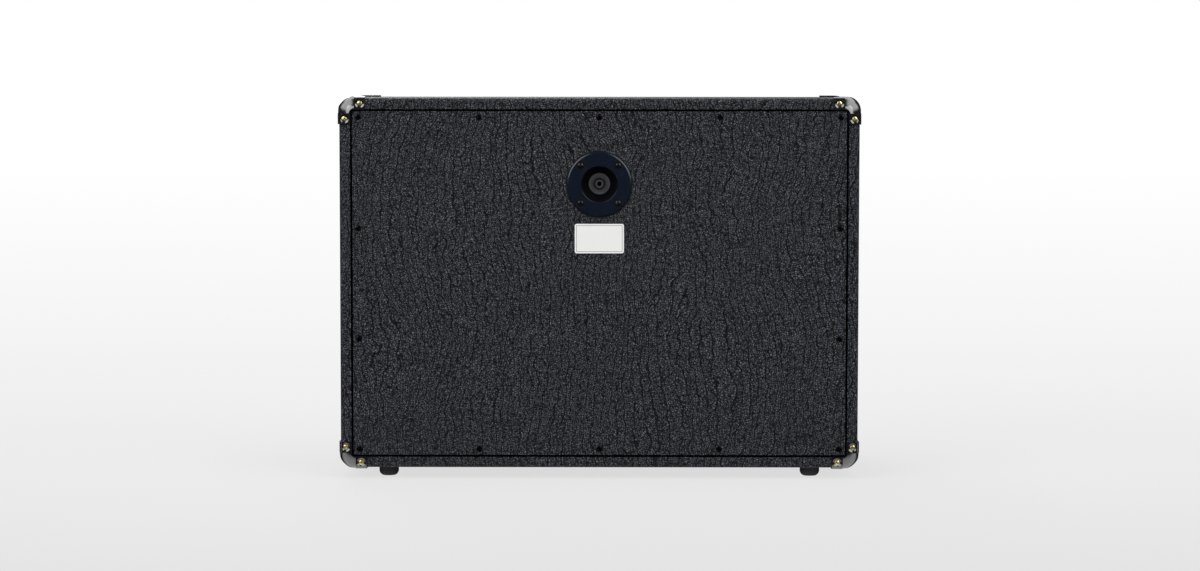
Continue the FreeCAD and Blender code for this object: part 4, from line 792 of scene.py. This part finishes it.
SCREW = screw_tree()
SMALL_HEAD = {"Head Height": 1.0 * MM, "Rim": 0.25 * MM, "Recess Width": 1.0 * MM}
SCREW_SETS = {
    "corner_screws": {**SMALL_HEAD, "Seed": 3},
    "back_panel_screws": {"Head Height": 1.0 * MM, "Rim": 0.3 * MM, "Recess Width": 1.2 * MM, "Seed": 5},
    "handle_screws": {**SMALL_HEAD, "Seed": 7},
    "jack_plate_screws": {**SMALL_HEAD, "Seed": 11},
    "foot_screws": {**SMALL_HEAD, "Seed": 13},
    "grille_screws": {**SMALL_HEAD, "Seed": 17},
    "speaker_screws": {"Head Height": 2.8 * MM, "Rim": 1.0 * MM, "Recess Width": 1.3 * MM, "Seed": 19},
}
RECESS_DEPTH_SHARE = 0.8


def drive_screws(node, sizes):
    """Wood screws in the seats of one CAD set of screws."""
    seats = [screw_seat(points) for points in merged_solids(node)]
    seats.sort(key=lambda seat: tuple(seat[0]))
    mesh = bpy.data.meshes.new(node + "_seats")
    mesh.from_pydata([seat[0] for seat in seats], [], [])
    ways = mesh.attributes.new("outward", "FLOAT_VECTOR", "POINT")
    ways.data.foreach_set("vector", [value for seat in seats for value in seat[1]])
    values = {
        "Head Radius": seats[0][2], "Length": seats[0][3], "Finish": finish_of(node),
        "Recess Depth": RECESS_DEPTH_SHARE * sizes["Head Height"], **sizes,
    }
    piece = run_tree(node + "_driven", mesh, SCREW, values)
    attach(piece, CASE)
    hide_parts(node)


for node, sizes in SCREW_SETS.items():
    drive_screws(node, sizes)


# Grille
CLOTH_THICKNESS = 0.5 * MM


def grille_sheet():
    """Woven cloth pulled flat over the grille frame and turned back round its four sides."""
    low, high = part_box("grille_cloth")
    bend, spacing = 1.6 * MM, 12 * MM
    turned = high.y - low.y
    half_width, half_height = (high.x - low.x) / 2, (high.z - low.z) / 2
    middle = (low + high) / 2

    def stations(half):
        """Distances across the cut cloth: the flat, the bend, and the turned-back side."""
        flat = half - bend
        count = round(2 * flat / spacing)
        inner = [flat * (2 * index / count - 1) for index in range(count + 1)]
        arc = bend * math.pi / 2
        outer = [flat + arc * step / 4 for step in (1, 2, 3, 4)]
        outer += [flat + arc + (turned - bend) * step / 3 for step in (1, 2, 3)]
        return [-value for value in reversed(outer)] + inner + outer

    def turn(distance, half):
        """Place and depth of a point at this distance from the cloth's middle."""
        flat, side = half - bend, math.copysign(1, distance)
        past = abs(distance) - flat
        if past <= 0:
            return distance, 0.0
        angle = min(past / bend, math.pi / 2)
        straight = max(0.0, past - bend * math.pi / 2)
        return side * (flat + bend * math.sin(angle)), bend * (1 - math.cos(angle)) + straight

    across, upward = stations(half_width), stations(half_height)
    mesh = bmesh.new()
    cloth = mesh.loops.layers.uv.new("cloth")
    knots = {}
    for u in across:
        for v in upward:
            x, x_depth = turn(u, half_width)
            z, z_depth = turn(v, half_height)
            if x_depth and z_depth:
                continue
            place = Vector((middle.x + x, low.y + x_depth + z_depth, middle.z + z))
            knots[u, v] = mesh.verts.new(place)
    for u0, u1 in zip(across, across[1:]):
        for v0, v1 in zip(upward, upward[1:]):
            corners = [(u0, v0), (u1, v0), (u1, v1), (u0, v1)]
            if all(corner in knots for corner in corners):
                face = mesh.faces.new([knots[corner] for corner in corners])
                face.smooth = True
                for loop, corner in zip(face.loops, corners):
                    loop[cloth].uv = corner
    data = bpy.data.meshes.new("grille_sheet")
    mesh.to_mesh(data)
    mesh.free()
    data.materials.append(FINISHES["grille_cloth"])
    piece = bpy.data.objects.new("grille_sheet", data)
    bpy.context.scene.collection.objects.link(piece)
    body = piece.modifiers.new("cloth_body", "SOLIDIFY")
    body.thickness, body.offset = CLOTH_THICKNESS, -1.0
    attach(piece, CASE)
    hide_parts("grille_cloth")


grille_sheet()


def piping_tree():
    """Round bead with a flat tongue behind it, carried round a rectangle with soft corners."""
    sizes = {
        "Width": 700 * MM, "Height": 500 * MM, "Bend": 5 * MM, "Bead Radius": 2.4 * MM,
        "Tongue Depth": 10 * MM, "Tongue Thickness": 1.6 * MM,
    }
    tree, board, given, exit_node = geometry_tree("piping", sizes, "Piping")
    frame_line = board.put("GeometryNodeCurvePrimitiveQuadrilateral",
                           {"Width": given["Width"], "Height": given["Height"]}).outputs["Curve"]
    path = board.put("GeometryNodeFilletCurve", {"Curve": frame_line, "Radius": given["Bend"], "Count": 8},
                     mode="POLY").outputs[0]
    bead_section = board.put("GeometryNodeCurvePrimitiveCircle",
                             {"Resolution": 16, "Radius": given["Bead Radius"]}).outputs["Curve"]
    strip = board.put(
        "GeometryNodeCurvePrimitiveQuadrilateral",
        {"Width": given["Tongue Thickness"], "Height": given["Tongue Depth"]},
    ).outputs["Curve"]
    behind = board.put("ShaderNodeCombineXYZ", {1: board.math("MULTIPLY", given["Tongue Depth"], -0.5)})
    tongue_section = board.put("GeometryNodeTransform",
                               {"Geometry": strip, "Translation": behind.outputs[0]}).outputs[0]
    whole = board.put("GeometryNodeJoinGeometry")
    for section in (tongue_section, bead_section):
        swept = board.put("GeometryNodeCurveToMesh", {"Curve": path, "Profile Curve": section})
        board.feed(whole.inputs[0], swept.outputs[0])
    upright = board.put("GeometryNodeTransform",
                        {"Geometry": whole.outputs[0], "Rotation": (math.pi / 2, 0, 0)})
    finish_tree(board, upright.outputs[0], given["Finish"], exit_node)
    return tree


def grille_piping():
    """Pale piping between the grille frame and the case."""
    low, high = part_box("grille_piping")
    bead, inset, bend = 2.4 * MM, 2.5 * MM, 5 * MM
    values = {
        "Width": high.x - low.x - 2 * inset, "Height": high.z - low.z - 2 * inset, "Bend": bend,
        "Bead Radius": bead, "Tongue Depth": high.y - low.y - bead, "Finish": FINISHES["piping"],
    }
    piece = run_tree("grille_piping_bead", bpy.data.meshes.new("piping_start"), piping_tree(), values)
    middle = (low + high) / 2
    piece.data.transform(Matrix.Translation((middle.x, low.y + bead, middle.z)))
    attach(piece, CASE)
    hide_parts("grille_piping")


grille_piping()


def flexing_copy(node):
    """A copy of a soft CAD piece, with its finish, shown in place of the hidden CAD piece."""
    piece = bpy.data.objects.new(node + "_flexing", NODES[node].data.copy())
    bpy.context.scene.collection.objects.link(piece)
    dress(piece, node)
    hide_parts(node)
    return piece


def flex_outwards(piece, axis):
    """Moves each vertex to its distance from the axis, bakes the piece's placement, then puts every vertex
    back where it was.
    """
    verts = piece.data.vertices
    places = [vert.co.copy() for vert in verts]
    for vert, place in zip(verts, places):
        vert.co = ((place - axis).xz.length, 0, 0)
    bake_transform(piece)
    for vert, place in zip(verts, places):
        vert.co = place


def hang_cone(side):
    """Copies of the surround, spider and leads of one loudspeaker, in place of their CAD pieces."""
    for kind, inside in (("surround", "cone"), ("spider", "voice_coil")):
        node = f"{side}_{kind}"
        low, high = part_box(node)
        flex_outwards(flexing_copy(node), (low + high) / 2)
    leads = side + "_tinsel_leads"
    low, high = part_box(leads)
    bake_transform(flexing_copy(leads))


for side in ("left", "right"):
    hang_cone(side)


# Studio and camera
KEY_POWER, TOP_POWER, FRONT_POWER = 52, 30, 70
LAMP_TARGET = Vector((0, 0, 0.3))
DIM_LIGHT, WHITE = (0.2, 0.2, 0.205, 1), (1, 1, 1, 1)
DARK_WALL, PALE_PANEL = (0.04, 0.04, 0.042, 1), (2.2, 2.2, 2.2, 1)
FLOOR_REACH, NEAREST_FLOOR = 60.0, 3.2
# Screen brightness of the floor far away, and what it loses one metre from the camera.
FLOOR_BRIGHTNESS, FLOOR_LOSS = 261.5 / 255, 117 / 255
MIRRORED_FLOOR, MIRRORED_STRIP = 0.05, 1.35
STRIP_START, STRIP_END = (100 * MM, 130 * MM), (220 * MM, 150 * MM)
GLOW_NEAR_CABINET = 0.84
CAMERA_PLACE = Vector((-0.0142, 4.3216, 0.5760))
CAMERA_PITCH, CAMERA_YAW, CAMERA_ROLL = 4.091, 0.185, -0.049
SENSOR_WIDTH, LENS_LENGTH = 36.0, 88.03


def studio():
    """Pale floor, walls that look white to the camera, and four soft boxes."""
    scene = bpy.context.scene
    scene.view_settings.view_transform = "Standard"
    floor = bpy.data.meshes.new("floor")
    corners = [(x * FLOOR_REACH, y * FLOOR_REACH, 0) for x, y in ((-1, -1), (1, -1), (1, 1), (-1, 1))]
    floor.from_pydata(corners, [], [(0, 1, 2, 3)])
    floor_object = bpy.data.objects.new("floor", floor)
    scene.collection.objects.link(floor_object)
    floor.materials.append(floor_paper())
    scene.world = studio_walls()
    soft_box("soft_box_left", Vector((2.2, 2.3, 2.0)), 2.4, KEY_POWER)
    soft_box("soft_box_right", Vector((-2.2, 2.3, 2.0)), 2.4, KEY_POWER)
    soft_box("soft_box_top", Vector((0, 0.2, 2.8)), 1.8, TOP_POWER).visible_glossy = False
    soft_box("soft_box_front", Vector((0.8, -3.0, 1.9)), 2.0, FRONT_POWER)


def studio_walls():
    """Even dim light; surfaces mirror dark walls, with pale panels high up ahead and at both sides."""
    world = bpy.data.worlds.new("studio")
    world.use_nodes = True
    world.node_tree.nodes.clear()
    board = NodeBoard(world.node_tree)
    rays = board.put("ShaderNodeLightPath").outputs
    # Parts of a ray's direction, where 1 is straight that way.
    across, backward, up = board.parts(board.put("ShaderNodeTexCoord").outputs["Generated"])
    ahead = board.math("MULTIPLY", board.step(up, 0.5, 0.7), board.step(backward, -0.1, -0.4))
    beside = board.math("MULTIPLY", board.step(up, 0.25, 0.45),
                        board.step(board.math("ABSOLUTE", across), 0.25, 0.45))
    beside = board.math("MULTIPLY", beside, board.step(board.math("ABSOLUTE", backward), 0.6, 0.3))
    panels = board.math("MAXIMUM", board.math("MULTIPLY", ahead, 1.3), beside)
    mirrored = board.mix(panels, DARK_WALL, PALE_PANEL)
    ambient = board.mix(rays["Is Glossy Ray"], DIM_LIGHT, mirrored)
    shown = board.math("MAXIMUM", rays["Is Camera Ray"], rays["Is Transmission Ray"])
    colour = board.mix(shown, ambient, WHITE)
    walls = board.put("ShaderNodeBackground", {"Color": colour, "Strength": 1.0})
    board.put("ShaderNodeOutputWorld", {"Surface": walls.outputs[0]})
    return world


def soft_box(name, place, side, power):
    """A square lamp that faces the cabinet."""
    lamp = bpy.data.lights.new(name, "AREA")
    lamp.shape, lamp.size, lamp.energy = "SQUARE", side, power
    lamp_object = bpy.data.objects.new(name, lamp)
    lamp_object.location = place
    lamp_object.rotation_euler = (LAMP_TARGET - place).to_track_quat("-Z", "Y").to_euler()
    bpy.context.scene.collection.objects.link(lamp_object)
    return lamp_object


def floor_paper():
    """Paper, white far off and a little greyer near the camera, with the cabinet's shadow.

    What surfaces mirror of it is dark, apart from a strip just behind the cabinet.
    """
    material = bpy.data.materials.new("floor_paper")
    material.use_nodes = True
    material.node_tree.nodes.clear()
    board = NodeBoard(material.node_tree)
    rays = board.put("ShaderNodeLightPath").outputs
    place = board.place()
    _, backward, _ = board.parts(place)
    from_camera = board.math("ABSOLUTE", board.math("SUBTRACT", CAMERA_PLACE.y, backward))
    from_camera = board.math("MAXIMUM", from_camera, NEAREST_FLOOR)
    level = board.math("SUBTRACT", FLOOR_BRIGHTNESS, board.math("DIVIDE", FLOOR_LOSS, from_camera))
    linear = board.math("POWER", board.math("MINIMUM", level, 1.0), 2.2)
    strip = board.math("MULTIPLY", board.step(backward, *STRIP_START), board.step(backward, *STRIP_END))
    mirrored = board.span(strip, MIRRORED_FLOOR, MIRRORED_STRIP)
    linear = board.math("MULTIPLY", linear, board.math("POWER", mirrored, rays["Is Glossy Ray"]))
    tooth = board.noise(place, 4 * MM, 2.0).outputs[0]
    paper = board.mix(tooth, (0.80, 0.80, 0.80, 1), (0.84, 0.84, 0.84, 1))
    matt = board.put("ShaderNodeBsdfDiffuse", {"Color": paper})
    glow = board.put("ShaderNodeEmission", {"Color": linear})
    seen = board.math("MAXIMUM", rays["Is Camera Ray"],
                      board.math("MAXIMUM", rays["Is Glossy Ray"], rays["Is Transmission Ray"]))
    away = board.step(board.vector("LENGTH", place), 0.5, 1.6)
    share = board.math("MULTIPLY", seen, board.span(away, GLOW_NEAR_CABINET, 1.0))
    share = board.math("MAXIMUM", share, rays["Is Glossy Ray"])
    both = board.put("ShaderNodeMixShader", {0: share, 1: matt.outputs[0], 2: glow.outputs[0]})
    board.put("ShaderNodeOutputMaterial", {"Surface": both.outputs[0]})
    return material


def rear_camera():
    """A long lens behind the cabinet, a little above its top."""
    lens = bpy.data.cameras.new("rear_camera")
    lens.sensor_width, lens.sensor_fit, lens.lens = SENSOR_WIDTH, "HORIZONTAL", LENS_LENGTH
    camera = bpy.data.objects.new("rear_camera", lens)
    camera.location = CAMERA_PLACE
    camera.rotation_euler = (
        math.radians(90 - CAMERA_PITCH), math.radians(CAMERA_ROLL), math.radians(180 + CAMERA_YAW)
    )
    bpy.context.scene.collection.objects.link(camera)
    bpy.context.scene.camera = camera


studio()
rear_camera()
